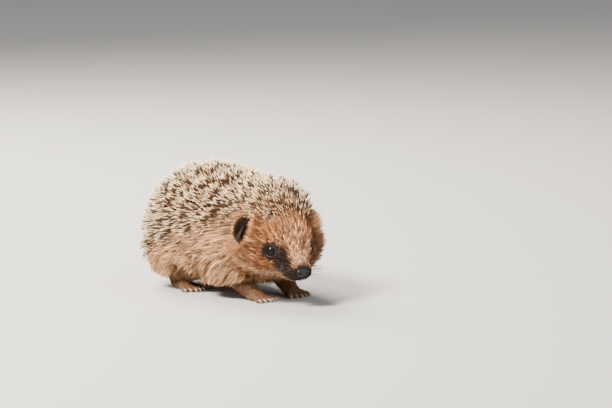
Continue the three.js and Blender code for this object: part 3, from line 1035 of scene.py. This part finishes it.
# %% Which way each spine points
STEEP, FLAT, OVER_BROW, OVER_LEFT_BROW = 62, 30, 31, 46


def lean_back(p):
    """Which way spines and flank hair point along the body."""
    low_down = 1 - ramp(p[..., 2], 22, 50)
    sideways = np.sign(p[..., 1]) * ramp(np.abs(p[..., 1]), 0, 25)
    return unit(np.stack([-np.ones(len(p)), 0.25 * sideways, -0.05 - 0.3 * low_down], -1))


def by_tuft(shared, own):
    """A random angle for each tuft, plus one for each spine in it."""
    return rng.normal(0, shared, len(leaders))[tuft] + rng.normal(0, own, len(roots))


_, outward = slope(roots)
back = along_skin(lean_back(roots), outward)
lift = np.radians(mix(FLAT, STEEP, ramp(roots[:, 2] - 0.05 * roots[:, 0], 32, 60)))
left_brow = ramp(h[:, 1], 4, 13) * ramp(h[:, 0], -24, -12)
brow_lift = np.radians(mix(OVER_BROW, OVER_LEFT_BROW, left_brow))
lift = mix(brow_lift, lift, ramp(spiny(roots, h), 0.1, 0.6)) + np.radians(by_tuft(8, 6))
sway = np.cross(outward, back) * np.tan(np.radians(by_tuft(10, 8)))[:, None]
heading = unit(outward * np.sin(lift)[:, None] + back * np.cos(lift)[:, None] + sway)
print("mean lift:", np.degrees(lift).mean().round(1), "degrees")

# %% How long each spine is
SPINE_LENGTH, TOO_LONG = 20.0, 1.12
reach = coat_depth(roots, h) / np.sin(np.clip(lift, 0.5, 1.3))
part = 0.82 + 0.4 * rng.random(len(roots)) ** 1.3
longest = SPINE_LENGTH * rng.uniform(0.88, 1.06, len(roots))
part = np.minimum(part * rng.uniform(0.84, 1.2, len(leaders))[tuft], TOO_LONG)
long = np.clip(reach * part, mix(9.0, 11.5, left_brow), longest)
long = long * mix(0.68, 1, ramp(share, 0.1, 0.8))
print("lengths in mm:", np.percentile(long, (5, 50, 95)).round(1))

# %% Lines of the spines
ROOT_DEPTH, SPINE_BEND, SPINE_BUNCH, MOST_DRAWN = 0.4, 0.06, 0.38, 5
SPINE_RINGS = np.array([0, 0.06, 0.5, 0.86, 1.0])
SPINE_GIRTH = np.array([0.55, 0.95, 1.05, 0.6])
SPINE_THICK = 0.37
t = SPINE_RINGS[None, :, None]
lines = roots[:, None] - outward[:, None] * ROOT_DEPTH + heading[:, None] * long[:, None, None] * t
bend = (back - outward * 0.4) * (long * SPINE_BEND)[:, None]
lines = lines + bend[:, None] * t**2
bunch = lines[leaders[tuft], -1] - lines[:, -1]
bunch = bunch * np.minimum(1, MOST_DRAWN / np.maximum(length(bunch), 0.1))[:, None]
lines = lines + bunch[:, None] * SPINE_BUNCH * t**2
thick = SPINE_THICK * mix(0.65, 1, ramp(share, 0.15, 0.8))
print("thickest:", round(2 * thick.max() * SPINE_GIRTH.max(), 2), "mm")

# %% [markdown]
# ## Spine finish
# A spine is cream with one dark band below its tip, and its root end is painted
# darker as the shade deep between the spines. The band could be painted on a map,
# but five thousand spines are too many to paint. Each point knows how far along its
# spine it is, and a colour ramp reads that. A chance number shifts the band and the
# tone a little from spine to spine.

# %% Spine finish
# The two darkest colours at the root are painted shade deep among the spines; the cream below the
# band, the dark band and the pale tip are the spine's own colours.
BANDS_AND_ROOT_SHADE = (
    (0.00, paint(64, 46, 34)), (0.26, paint(146, 112, 82)), (0.44, paint(226, 188, 146)),
    (0.50, paint(74, 50, 34)), (0.64, paint(58, 38, 26)), (0.72, paint(250, 212, 164)),
    (1.00, paint(255, 238, 204)),
)
BAND_SHIFT = -0.12
spine_material, tree, shader = new_material("spine", 0.5, Specular_IOR_Level=0.35)
along = attribute(tree, "along").outputs["Fac"]
chance = attribute(tree, "chance").outputs["Fac"]
moved = node(
    tree, "ShaderNodeMath", {0: chance, 1: BAND_SHIFT, 2: along}, operation="MULTIPLY_ADD"
).outputs["Value"]
bands_and_shade = node(tree, "ShaderNodeValToRGB", {"Fac": moved})
for place, colour in BANDS_AND_ROOT_SHADE[1:-1]:
    bands_and_shade.color_ramp.elements.new(place)
for element, (place, colour) in zip(bands_and_shade.color_ramp.elements, BANDS_AND_ROOT_SHADE):
    element.position = place
    element.color = (*colour, 1)
warm = times(tree, bands_and_shade.outputs["Color"], attribute(tree, "marking").outputs["Color"])
tree.links.new(tinted(tree, warm, chance, 0.82, 1.24), shader.inputs["Base Color"])

# %% Spine pieces
SPINE_SIDES, MARKING_SHARE = 5, 0.18
BODY_UNWRAP = (np.array([-5, 0, 34]), np.array([55, 36, 33]))
spine_tint = mix(1.0, markings(roots) / CREAM, MARKING_SHARE)
for name, side in (("left", 1), ("right", -1)):
    mine = np.where(roots[:, 1] * side > 0)[0]
    girth = SPINE_GIRTH * (thick * rng.uniform(0.85, 1.15, len(roots)))[mine, None]
    piece = strand_mesh(
        f"spines_{name}", lines[mine], girth, outward[mine], SPINE_SIDES, spine_material,
        unwrap(roots[mine], *BODY_UNWRAP), spine_tint[mine],
    )

# %% [markdown]
# ## Hair that follows the body
# A hair leaves its root, runs with the lie of the coat and rises to the coat's
# depth at its tip. Straight hairs would cut through cheek and flank. So at each
# step a hair asks the field how high it is and which way the skin faces, and bends
# round the body as combed fur does. Neighbours then draw together into locks, which
# wave from side to side.

# %% Growing hair
HAIR_ROOT_DEPTH = 0.25


def grow(roots, long, depth, flow, steps):
    """Lines that follow the flow at a height that rises to depth at the tip."""
    here = roots - slope(roots)[1] * HAIR_ROOT_DEPTH
    line = [here]
    for step in range(1, steps + 1):
        value, outward = slope(here)
        along = along_skin(flow(here), outward)
        stride = long / steps
        climb = np.clip(depth * (step / steps) ** 0.7 - value, -0.9 * stride, 0.93 * stride)
        forward = np.sqrt(stride**2 - climb**2)
        here = here + along * forward[:, None] + outward * climb[:, None]
        line.append(here)
    return np.stack(line, 1)


def gather(lines, every, pull, wave, turns):
    """Draws hairs to the nearest of some leaders and waves each lock from side to side."""
    count, steps = lines.shape[:2]
    leaders = rng.choice(count, max(count // every, 1), replace=False)
    lock = nearest(lines[:, 0], lines[leaders, 0])
    t = np.linspace(0, 1, steps)[None, :, None]
    together = lines[leaders[lock]]
    lines = lines + (together - lines) * pull * t**1.4
    run = unit(lines[:, -1] - lines[:, 0])
    side = unit(np.cross(run, slope(lines[:, 0])[1]))
    phase = rng.random(len(leaders))[lock] + rng.normal(0, 0.06, count)
    swing = np.sin(2 * math.pi * (turns * t[..., 0] + phase[:, None])) * t[..., 0] ** 0.8
    return lines + side[:, None] * (swing * wave[:, None])[..., None], lock


print("hair takes root", HAIR_ROOT_DEPTH, "mm deep")

# %% [markdown]
# ## Hair finish
# Fur is dark at its roots, where little light gets in, and pale at its tips, and
# no two locks have quite the same tone. A hair shader would show that, but it
# doesn't leave Blender. A plain one does the same here: a grey that runs from root
# to tip, another by chance from hair to hair, and a tone for each lock in the
# colours kept on its points.

# %% Hair finish
ROOT_SHADE, TIP_LIGHT = 0.22, 1.5
hair_material, tree, shader = new_material("hair", 0.62, Specular_IOR_Level=0.25)
along = attribute(tree, "along").outputs["Fac"]
chance = attribute(tree, "chance").outputs["Fac"]
base = attribute(tree, "marking").outputs["Color"]
lit = tinted(tree, tinted(tree, base, along, ROOT_SHADE, TIP_LIGHT), chance, 0.85, 1.15)
tree.links.new(lit, shader.inputs["Base Color"])

# %% Tone, thickness and mesh of hair
HAIR_SIDES, HAIR_FLAT = 3, 0.6


def streaked(colours, lock, spread, paler=0.6):
    """Gives every lock and every hair its own tone, some locks paler towards cream."""
    count, locks = len(colours), lock.max() + 1
    tone = np.exp(rng.normal(0, spread, locks)[lock] + rng.normal(-0.08, 0.26, count))
    light = ramp(colours.mean(1), 0.03, 0.2)
    pale = light * rng.random(locks)[lock] ** 2 * paler
    return mix(colours, CREAM * 1.15, pale[:, None]) * tone[:, None]


def hair_girth(thick, steps, count):
    """Radii that taper towards the tip, with some hairs thicker than others."""
    t = np.linspace(0, 1, steps + 1)[:-1]
    return thick * (1 - 0.65 * t**1.5) * rng.uniform(0.8, 1.2, (count, 1))


def hair_mesh(name, lines, girth, outward, places, colours):
    return strand_mesh(
        name, lines, girth, outward, HAIR_SIDES, hair_material, places, colours, HAIR_FLAT
    )


print("a hair has", HAIR_SIDES, "sides and is", HAIR_FLAT, "as thick as it is wide")

# %% [markdown]
# ## Flank and belly hair
# Below the skirt of spines the coat is long, coarse and wavy, and hangs in locks.
# One long hair in ten would be enough for its outline, but the skin would show
# between them. So there are many, in locks of three inside locks of twenty-six,
# in four pieces, because one would be too heavy.

# %% Where flank hair grows


def body_flow(p):
    """Back along the body, and down below the widest part of the flanks."""
    hang = 1 - ramp(p[..., 2], 14, 26)
    return lean_back(p) - (0.12 + 0.75 * hang)[..., None] * (0, 0, 1)


def body_hair_density(p):
    h = to_head(p)
    open_to_hair = 1 - ramp(on_back(p, h), 0.3, 0.85)
    off_face = 1 - ramp(h[..., 0], -12, -4)
    off_legs = ramp(limbs(p), 0.5, 2.5)
    off_ears = ramp(ear_blank(h), 0.6, 1.6)
    belly = mix(1, 0.45, ramp(-p[..., 2], -16, -11))
    return open_to_hair * off_face * off_legs * off_ears * belly


BODY_HAIRS, BODY_STEPS = 20000, 5
roots = pick_roots(BODY_HAIRS, body_hair_density)
h = to_head(roots)
_, outward = slope(roots)
print("body hairs:", len(roots))

# %% Flank and belly hair
LONG_FLANK, LONG_BELLY, BODY_THICK = 17, 9, 0.22
belly = ramp(-roots[:, 2], -20, -11)
long = mix(LONG_FLANK, LONG_BELLY, belly) * rng.uniform(0.7, 1.1, BODY_HAIRS)
depth = coat_depth(roots, h) * (1 - 0.35 * spiny(roots, h)) * rng.uniform(0.3, 1.0, BODY_HAIRS)
lines = grow(roots, long, depth, body_flow, BODY_STEPS)
lines, _ = gather(lines, 26, 0.3, mix(0.5, 0.3, belly), 1.4)
lines, lock = gather(lines, 3, 0.7, np.full(BODY_HAIRS, 0.12), 1.6)
colours = streaked(markings(roots), lock, 0.4)
for name, mine in quarters(roots[:, 1], roots[:, 0] > 0, ("shoulder_hair", "rump_hair")):
    piece = hair_mesh(
        name, lines[mine], hair_girth(BODY_THICK, BODY_STEPS, len(mine)), outward[mine],
        unwrap(roots[mine], *BODY_UNWRAP), colours[mine],
    )

# %% [markdown]
# ## Face hair
# The face has short hair that runs back from the nose, over the brow to the first
# spines and over the cheeks to a loose ruff. It is shortest on the muzzle and round
# the eyes, where it is little more than down. A bump could stand for such down,
# but it would leave the edge of the face as smooth as plastic.

# %% Where face hair grows


def face_flow(p):
    """Back from the nose, and round the eye rather than over it."""
    h = to_head(p)
    flow = unit(h - (SNOUT_REACH + 6, 0, -4))
    away = unmirrored(unit(mirrored(h) - EYE_AT), h)
    near = 1 - ramp(to_eye(h), 5.0, 9)
    against = np.minimum((flow * away).sum(-1), 0)
    return (flow + away * (near * (0.22 - 0.95 * against))[:, None]) @ turn_head.T


def face_hair_density(p):
    h = to_head(p)
    on_face = ramp(h[..., 0], -15, -6)
    open_to_hair = 1 - ramp(spined(p, h), 0.35, 0.95)
    off_nose = ramp(length(h - NOSE_AT), 3.4, 4.6)
    off_eye = to_eye(h) > EYE_RADIUS + 1.35
    own = ear_frame(h)
    off_ears = (ears(h) > 0.4) & ((ear_hollow(own) > 0.4) | (own[..., 0] > 2.2))
    off_legs = ramp(limbs(p), 0.5, 2.5)
    return on_face * open_to_hair * off_nose * off_eye * off_ears * off_legs


FACE_HAIRS, FACE_STEPS = 20000, 4
roots = pick_roots(FACE_HAIRS, face_hair_density)
h = to_head(roots)
_, outward = slope(roots)
print("face hairs:", len(roots))

# %% Regions of the face
muzzle = ramp(h[:, 0], 6, 24)
round_eye = 1 - ramp(to_eye(h), 4, 9)
ruff = ramp(-h[:, 0], -4, 9)
crown = ramp(h[:, 2] - 0.6 * h[:, 0], 2, 12)
bridge_edge = (
    ramp(h[:, 0], 9, 13) * (1 - ramp(h[:, 0], 21, 25)) * ramp(np.abs(h[:, 1]), 3, 6.5)
    * ramp(h[:, 2], -3.5, -0.5) * ramp(to_eye(h), 4.8, 8)
)
print("on the muzzle:", int((muzzle > 0.5).sum()), "round the eyes:", int((round_eye > 0.5).sum()))

# %% Length and depth of face hair
long = mix(mix(6.0, 13.0, crown), 2.2, muzzle)
long = mix(long, 2.1, round_eye)
long = mix(long, 10.0, ruff * (1 - crown)) * rng.uniform(0.75, 1.15, FACE_HAIRS)
by_ear = mix(4.2, 2.0, ramp(h[:, 2], EAR_AT[2] - 6, EAR_AT[2] + 1))
long = mix(by_ear, long, ramp(ear_blank(h), 0.3, 6))
depth = np.maximum(coat_depth(roots, h) * mix(1.0, 0.8, ruff), mix(1.5, 0.9, muzzle))
depth = mix(depth * rng.uniform(0.3, 1.15, FACE_HAIRS), 0.6, round_eye)
depth = mix(depth, 3.0 * rng.uniform(0.6, 1.1, FACE_HAIRS), bridge_edge)
long = mix(long, 5.0, bridge_edge)
lines = grow(roots, long, depth, face_flow, FACE_STEPS)
lines, _ = gather(lines, 14, 0.3, mix(0.2, 0.05, muzzle), 0.9)
lines, lock = gather(lines, 4, 0.5, mix(0.1, 0.03, muzzle), 1.2)
print("mean length:", long.mean().round(1), "mm")

# %% Face hair
GRIZZLED, CHEEK_THICK, MUZZLE_THICK = 0.16, 0.19, 0.11
# Hair among the first spines on the brow is darkened with painted shade.
colours = over(markings(roots), SHADE_AMONG_SPINES, 0.6 * ramp(spined(roots, h), 0.1, 0.8))
grizzled = (rng.random(FACE_HAIRS) < GRIZZLED * muzzle)[:, None]
colours = streaked(np.where(grizzled, mix(colours, CREAM, 0.14), colours), lock, 0.46, 0.3)
girth = hair_girth(1.0, FACE_STEPS, FACE_HAIRS) * mix(CHEEK_THICK, MUZZLE_THICK, muzzle)[:, None]
FACE_UNWRAP = (from_head((0, 0, 0)), np.array([26, 24, 22]))
for name, mine in quarters(h[:, 1], h[:, 2] > 3, ("brow_hair", "cheek_hair")):
    piece = hair_mesh(
        name, lines[mine], girth[mine], outward[mine],
        unwrap(roots[mine], *FACE_UNWRAP), colours[mine],
    )

# %% [markdown]
# ## The ruff
# In front of and below the ears longer hairs stand out from the cheeks and widen the
# head, more on the animal's left. The face hair could be made longer there, but its
# hairs lie and these stand, so they are grown apart.

# %% Where the ruff grows


def ruff_flow(p):
    h = to_head(p)
    return unmirrored(np.broadcast_to((-0.75, 0.8, 0.1), h.shape), h) @ turn_head.T


def ruff_density(p):
    h = to_head(p)
    side = np.abs(h[..., 1])
    place = ramp(h[..., 0], -15, -9) * ramp(-h[..., 0], -6, 1) * ramp(side, 12, 15)
    height = ramp(h[..., 2], -14, -8) * (1 - ramp(h[..., 2], 12, 19))
    return place * height * ramp(ear_blank(h), 1.2, 3.5)


RUFF_HAIRS, RUFF_STEPS = 5200, 4
roots = pick_roots(RUFF_HAIRS, ruff_density)
h = to_head(roots)
_, outward = slope(roots)
print("ruff hairs:", len(roots))

# %% Ruff hair
RUFF_THICK = 0.17
near_ear = 1 - ramp(ear_blank(h), 2, 6)
on_left = ramp(h[:, 1], -1, 1)
long = mix(11.0, mix(4.0, 7.5, on_left), near_ear) * rng.uniform(0.7, 1.1, RUFF_HAIRS)
depth = mix(8.0, mix(3.0, 5.5, on_left), near_ear) * rng.uniform(0.4, 1.0, RUFF_HAIRS)
depth = depth * mix(mix(0.5, 1.15, on_left), 1, ramp(-h[:, 0], -4, 4))
lines = grow(roots, long, depth, ruff_flow, RUFF_STEPS)
lines, lock = gather(lines, 8, 0.4, np.full(RUFF_HAIRS, 0.3), 1.0)
colours = mix(markings(roots), RUST * 1.2, 0.4)
colours = streaked(over(colours, CREAM, 0.55 * ramp(h[:, 2], 0, 9) * on_left), lock, 0.32)
piece = hair_mesh(
    "ruff_hair", lines, hair_girth(RUFF_THICK, RUFF_STEPS, RUFF_HAIRS), outward,
    unwrap(roots, *FACE_UNWRAP), colours,
)

# %% [markdown]
# ## Leg hair
# Short, stiff hair covers the legs down to the toes and leaves the soles bare. It
# could be left out, as legs are small, but bare legs look like clay beside a furry
# body. The four legs share one piece, with a quarter of the bake map for each.

# %% Where leg hair grows
DOWN_THE_LEG, OVER_THE_FOOT = np.array([-0.3, 0, -1]), np.array([1, 0, -0.15])


def limb_flow(p):
    """Down the leg, then forward over the foot."""
    on_foot = 1 - ramp(p[..., 2], 4, 9)
    return over(DOWN_THE_LEG, OVER_THE_FOOT, on_foot)


def limb_hair_density(p):
    near = 1 - ramp(limbs(p) - flesh(p), -0.5, 2.0)
    return near * ramp(p[..., 2], 1.2, 2.6) * (limbs(p) < 1.5)


LIMB_HAIRS, LIMB_STEPS = 6500, 3
roots = pick_roots(LIMB_HAIRS, limb_hair_density)
_, outward = slope(roots)
print("leg hairs:", len(roots))

# %% Leg hair
LIMB_THICK = 0.17
low_down = 1 - ramp(roots[:, 2], 3, 12)
long = mix(5, 2.4, low_down) * rng.uniform(0.75, 1.15, LIMB_HAIRS)
depth = mix(1.8, 0.55, low_down) * rng.uniform(0.4, 1.0, LIMB_HAIRS)
lines = grow(roots, long, depth, limb_flow, LIMB_STEPS)
colours = markings(roots) * rng.uniform(0.7, 1.15, (LIMB_HAIRS, 1))
corner = (roots[:, 0] > 0) + 2 * (roots[:, 1] > 0)
centres = np.array([(-20, -18, 8), (36, -15, 8), (-20, 18, 8), (36, 15, 8)], float)
quarter = np.stack([corner % 2, corner // 2], 1) * 0.5
places = unwrap(roots, centres[corner], np.array([20, 10, 10])) * 0.5 + quarter
piece = hair_mesh(
    "limb_hair", lines, hair_girth(LIMB_THICK, LIMB_STEPS, LIMB_HAIRS), outward, places, colours
)

# %% [markdown]
# ## Ear hair
# Fine hair edges the ears and thins out towards their hollows, which stay bare and
# dark. Without it an ear looks cut from rubber, and hair all over it would hide the
# cup, so most of it is put on the rim.

# %% Where ear hair grows


def ear_flow(p):
    """Outwards over the rim, and up."""
    h = to_head(p)
    flow = (ear_frame(h) * (0, 1, 1) + (-0.4, 0, 2.0)) @ EAR_TURN.T
    return unmirrored(flow, h) @ turn_head.T


def ear_hair_density(p):
    h = to_head(p)
    own = ear_frame(h)
    on_ear = (ears(h) < 0.5) & (own[..., 2] > -5)
    on_rim = own[..., 0] > 1.0
    deep = ear_hollow(own) < np.where(on_rim, 0.15, 0.75)
    return on_ear * np.where(on_rim, 3.0, 1.0) * ~deep


EAR_HAIRS, EAR_STEPS = 3200, 3
roots = pick_roots(EAR_HAIRS, ear_hair_density)
h = to_head(roots)
_, outward = slope(roots)
print("ear hairs:", len(roots))

# %% Ear hair
EAR_THICK = 0.12
long = rng.uniform(1.8, 4.2, EAR_HAIRS)
depth = rng.uniform(0.3, 1.3, EAR_HAIRS)
lines = grow(roots, long, depth, ear_flow, EAR_STEPS)
colours = markings(roots) * rng.uniform(0.6, 1.2, (EAR_HAIRS, 1))
ear_middle = from_head(unmirrored(np.broadcast_to(EAR_AT, h.shape), h))
places = unwrap(roots, ear_middle, np.array([6, 6, 9])) * (0.5, 1)
places = places + 0.5 * (h[:, 1] > 0)[:, None] * (1, 0)
piece = hair_mesh(
    "ear_hair", lines, hair_girth(EAR_THICK, EAR_STEPS, EAR_HAIRS), outward, places, colours
)

# %% [markdown]
# ## Whiskers
# Long stiff hairs stand from the whisker pads on both sides of the snout and droop
# a little. They are few enough to be drawn as curves with a bevel, but as strands
# they share the rest of the coat's mesh and map.

# %% Whiskers
WHISKERS, WHISKER_STEPS, WHISKER_THICK = 15, 6, 0.11
DROOP = np.array([-0.55, 0, -0.35])
UPWARDS = (0, 0, 1.0)


def same_for_all(value, count):
    return np.tile(value, (count, 1))


pad = [rng.uniform(*span, WHISKERS) for span in ((15, 24), (4.5, 6.5), (-6.5, -2.5))]
whisker_lines = []
for side in (1, -1):
    start = from_head(settle(np.stack(pad, 1), head, 6) * (1, side, 1))
    heading = unit(np.array([0.15, 0.9 * side, 0.05]) + rng.normal(0, 0.16, (WHISKERS, 3)))
    long = rng.uniform(9, 19, WHISKERS)[:, None, None]
    t = np.linspace(0, 1, WHISKER_STEPS + 1)[None, :, None]
    own = heading[:, None] * long * t + DROOP * long * t**2 * 0.6
    whisker_lines.append(start[:, None] + own @ turn_head.T)
lines = np.concatenate(whisker_lines)
whisker_material, tree, shader = new_material(
    "whisker", 0.35, Base_Color=(*paint(92, 74, 64), 1)
)
piece = strand_mesh(
    "whiskers", lines, hair_girth(WHISKER_THICK, WHISKER_STEPS, len(lines)),
    same_for_all(UPWARDS, len(lines)), 4, whisker_material,
    unwrap(lines[:, 0], *FACE_UNWRAP), same_for_all(TAN, len(lines)),
)

# %% [markdown]
# ## Claws
# Each toe ends in a curved claw of horn, dark at its root and paler at its point.
# A claw is a strand as well, only thick, short and with more sides, so it gets its
# taper and its colour along its length from the same helpers.

# %% Claws
CLAW_LENGTH, CLAW_STEPS, CLAW_SIDES, ARCH = 4.2, 8, 10, 0.75
claw_lines = []
for leg in LEGS.values():
    turn, at = foot_frame(leg)
    for spread in TOE_SPREADS:
        _, tip = toe_ends(leg, spread)
        end = np.array([tip[0] + CLAW_LENGTH, tip[1] * 1.12, 0.35])
        t = np.linspace(0, 1, CLAW_STEPS + 1)[:, None]
        line = mix(tip - (0.5, 0, -0.1), end, t) + np.array([0, 0, ARCH]) * 4 * t * (1 - t)
        line = line @ turn.T + at
        claw_lines += [line, line * (1, -1, 1)]
claw_lines = np.stack(claw_lines)
count = len(claw_lines)
t = np.linspace(0, 1, CLAW_STEPS + 1)[:-1]
claw_girth = same_for_all(0.85 * (1 - t**1.6) + 0.16, count)
claw_material, tree, shader = new_material("claw", 0.3)
along = attribute(tree, "along").outputs["Fac"]
horn = between(tree, along, paint(86, 64, 52), paint(196, 172, 148))
tree.links.new(horn, shader.inputs["Base Color"])
piece = strand_mesh(
    "claws", claw_lines, claw_girth, same_for_all(UPWARDS, count), CLAW_SIDES,
    claw_material, unwrap(claw_lines[:, 0], *BODY_UNWRAP), same_for_all(TAN, count),
)

# %% [markdown]
# ## Floor
# A museum shows such a model on a plain board. A pale, matt floor takes the shadow
# of feet and belly, which is what makes the model stand and not float. A pure
# shadow catcher would show less of the light that the floor throws up.

# %% Floor
FLOOR_HALF = 7000
corners = np.array([(x, y, 0) for x, y in ((-1, -1), (1, -1), (1, 1), (-1, 1))], float)
floor_material, _, _ = new_material("floor", 0.9, Base_Color=(0.53, 0.52, 0.505, 1))
floor_points = corners * FLOOR_HALF - shift * (1, 1, 0)
floor = add_mesh("floor", floor_points, [np.array([[0, 1, 2, 3]])], floor_material)
floor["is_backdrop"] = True

# %% [markdown]
# ## Lights
# A large soft lamp high on the animal's right is the main light. A weak one in front
# opens the shadows, and one behind puts a bright edge on the tips of the spines.
# Small lamps would give hard shadows from every hair, so all three are wide.

# %% Lights
BODY_MIDDLE = (0, 0, 0.035)


def add_lamp(name, place, size, watts, colour):
    data = bpy.data.lights.new(name, "AREA")
    data.size, data.energy, data.color = size, watts, colour
    lamp = bpy.data.objects.new(name, data)
    lamp.location = place
    aim = Vector(BODY_MIDDLE) - Vector(place)
    lamp.rotation_euler = aim.to_track_quat("-Z", "Y").to_euler()
    bpy.context.scene.collection.objects.link(lamp)
    print(name, "lamp:", watts, "W")


add_lamp("key", (-0.05, -0.8, 0.95), 0.4, 53, (1.0, 0.95, 0.87))
add_lamp("fill", (1.0, 0.5, 0.5), 0.9, 6, (0.95, 0.97, 1.0))
add_lamp("rim", (-0.8, 0.15, 0.8), 0.6, 34, (1.0, 0.93, 0.84))
world = bpy.data.worlds.new("studio")
world.use_nodes = True
background = world.node_tree.nodes["Background"]
background.inputs["Color"].default_value = (0.80, 0.80, 0.82, 1)
background.inputs["Strength"].default_value = 0.46
bpy.context.scene.world = world

# %% [markdown]
# ## Camera
# An animal looks right from little above the height of its own eyes. A wide lens
# close by would swell its snout, so a long lens stands two metres away and keeps
# its proportions.

# %% Camera
AZIMUTH, ELEVATION, DISTANCE = math.radians(50), math.radians(8), 2.06
AIM_ACROSS, AIM_UP = 46.67, 51.5
level = math.cos(ELEVATION)
toward = Vector((math.sin(AZIMUTH) * level, -math.cos(AZIMUTH) * level, math.sin(ELEVATION)))
across = Vector((math.cos(AZIMUTH), math.sin(AZIMUTH), 0))
upward = toward.cross(across)
aim = (across * AIM_ACROSS + upward * AIM_UP + Vector(shift)) * MM
camera_data = bpy.data.cameras.new("camera")
camera_data.lens, camera_data.sensor_width = 200, 36
camera = bpy.data.objects.new("camera", camera_data)
camera.location = aim + toward * DISTANCE
camera.rotation_euler = toward.to_track_quat("Z", "Y").to_euler()
bpy.context.scene.collection.objects.link(camera)
bpy.context.scene.camera = camera
print("camera at", tuple(round(c, 3) for c in camera.location))

# %% Sizes, for comparison
visual_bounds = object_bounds()
lines = [[list(v) for v in b] for b in (solid_bounds, visual_bounds)]
print("box with coat", rounded(visual_bounds))
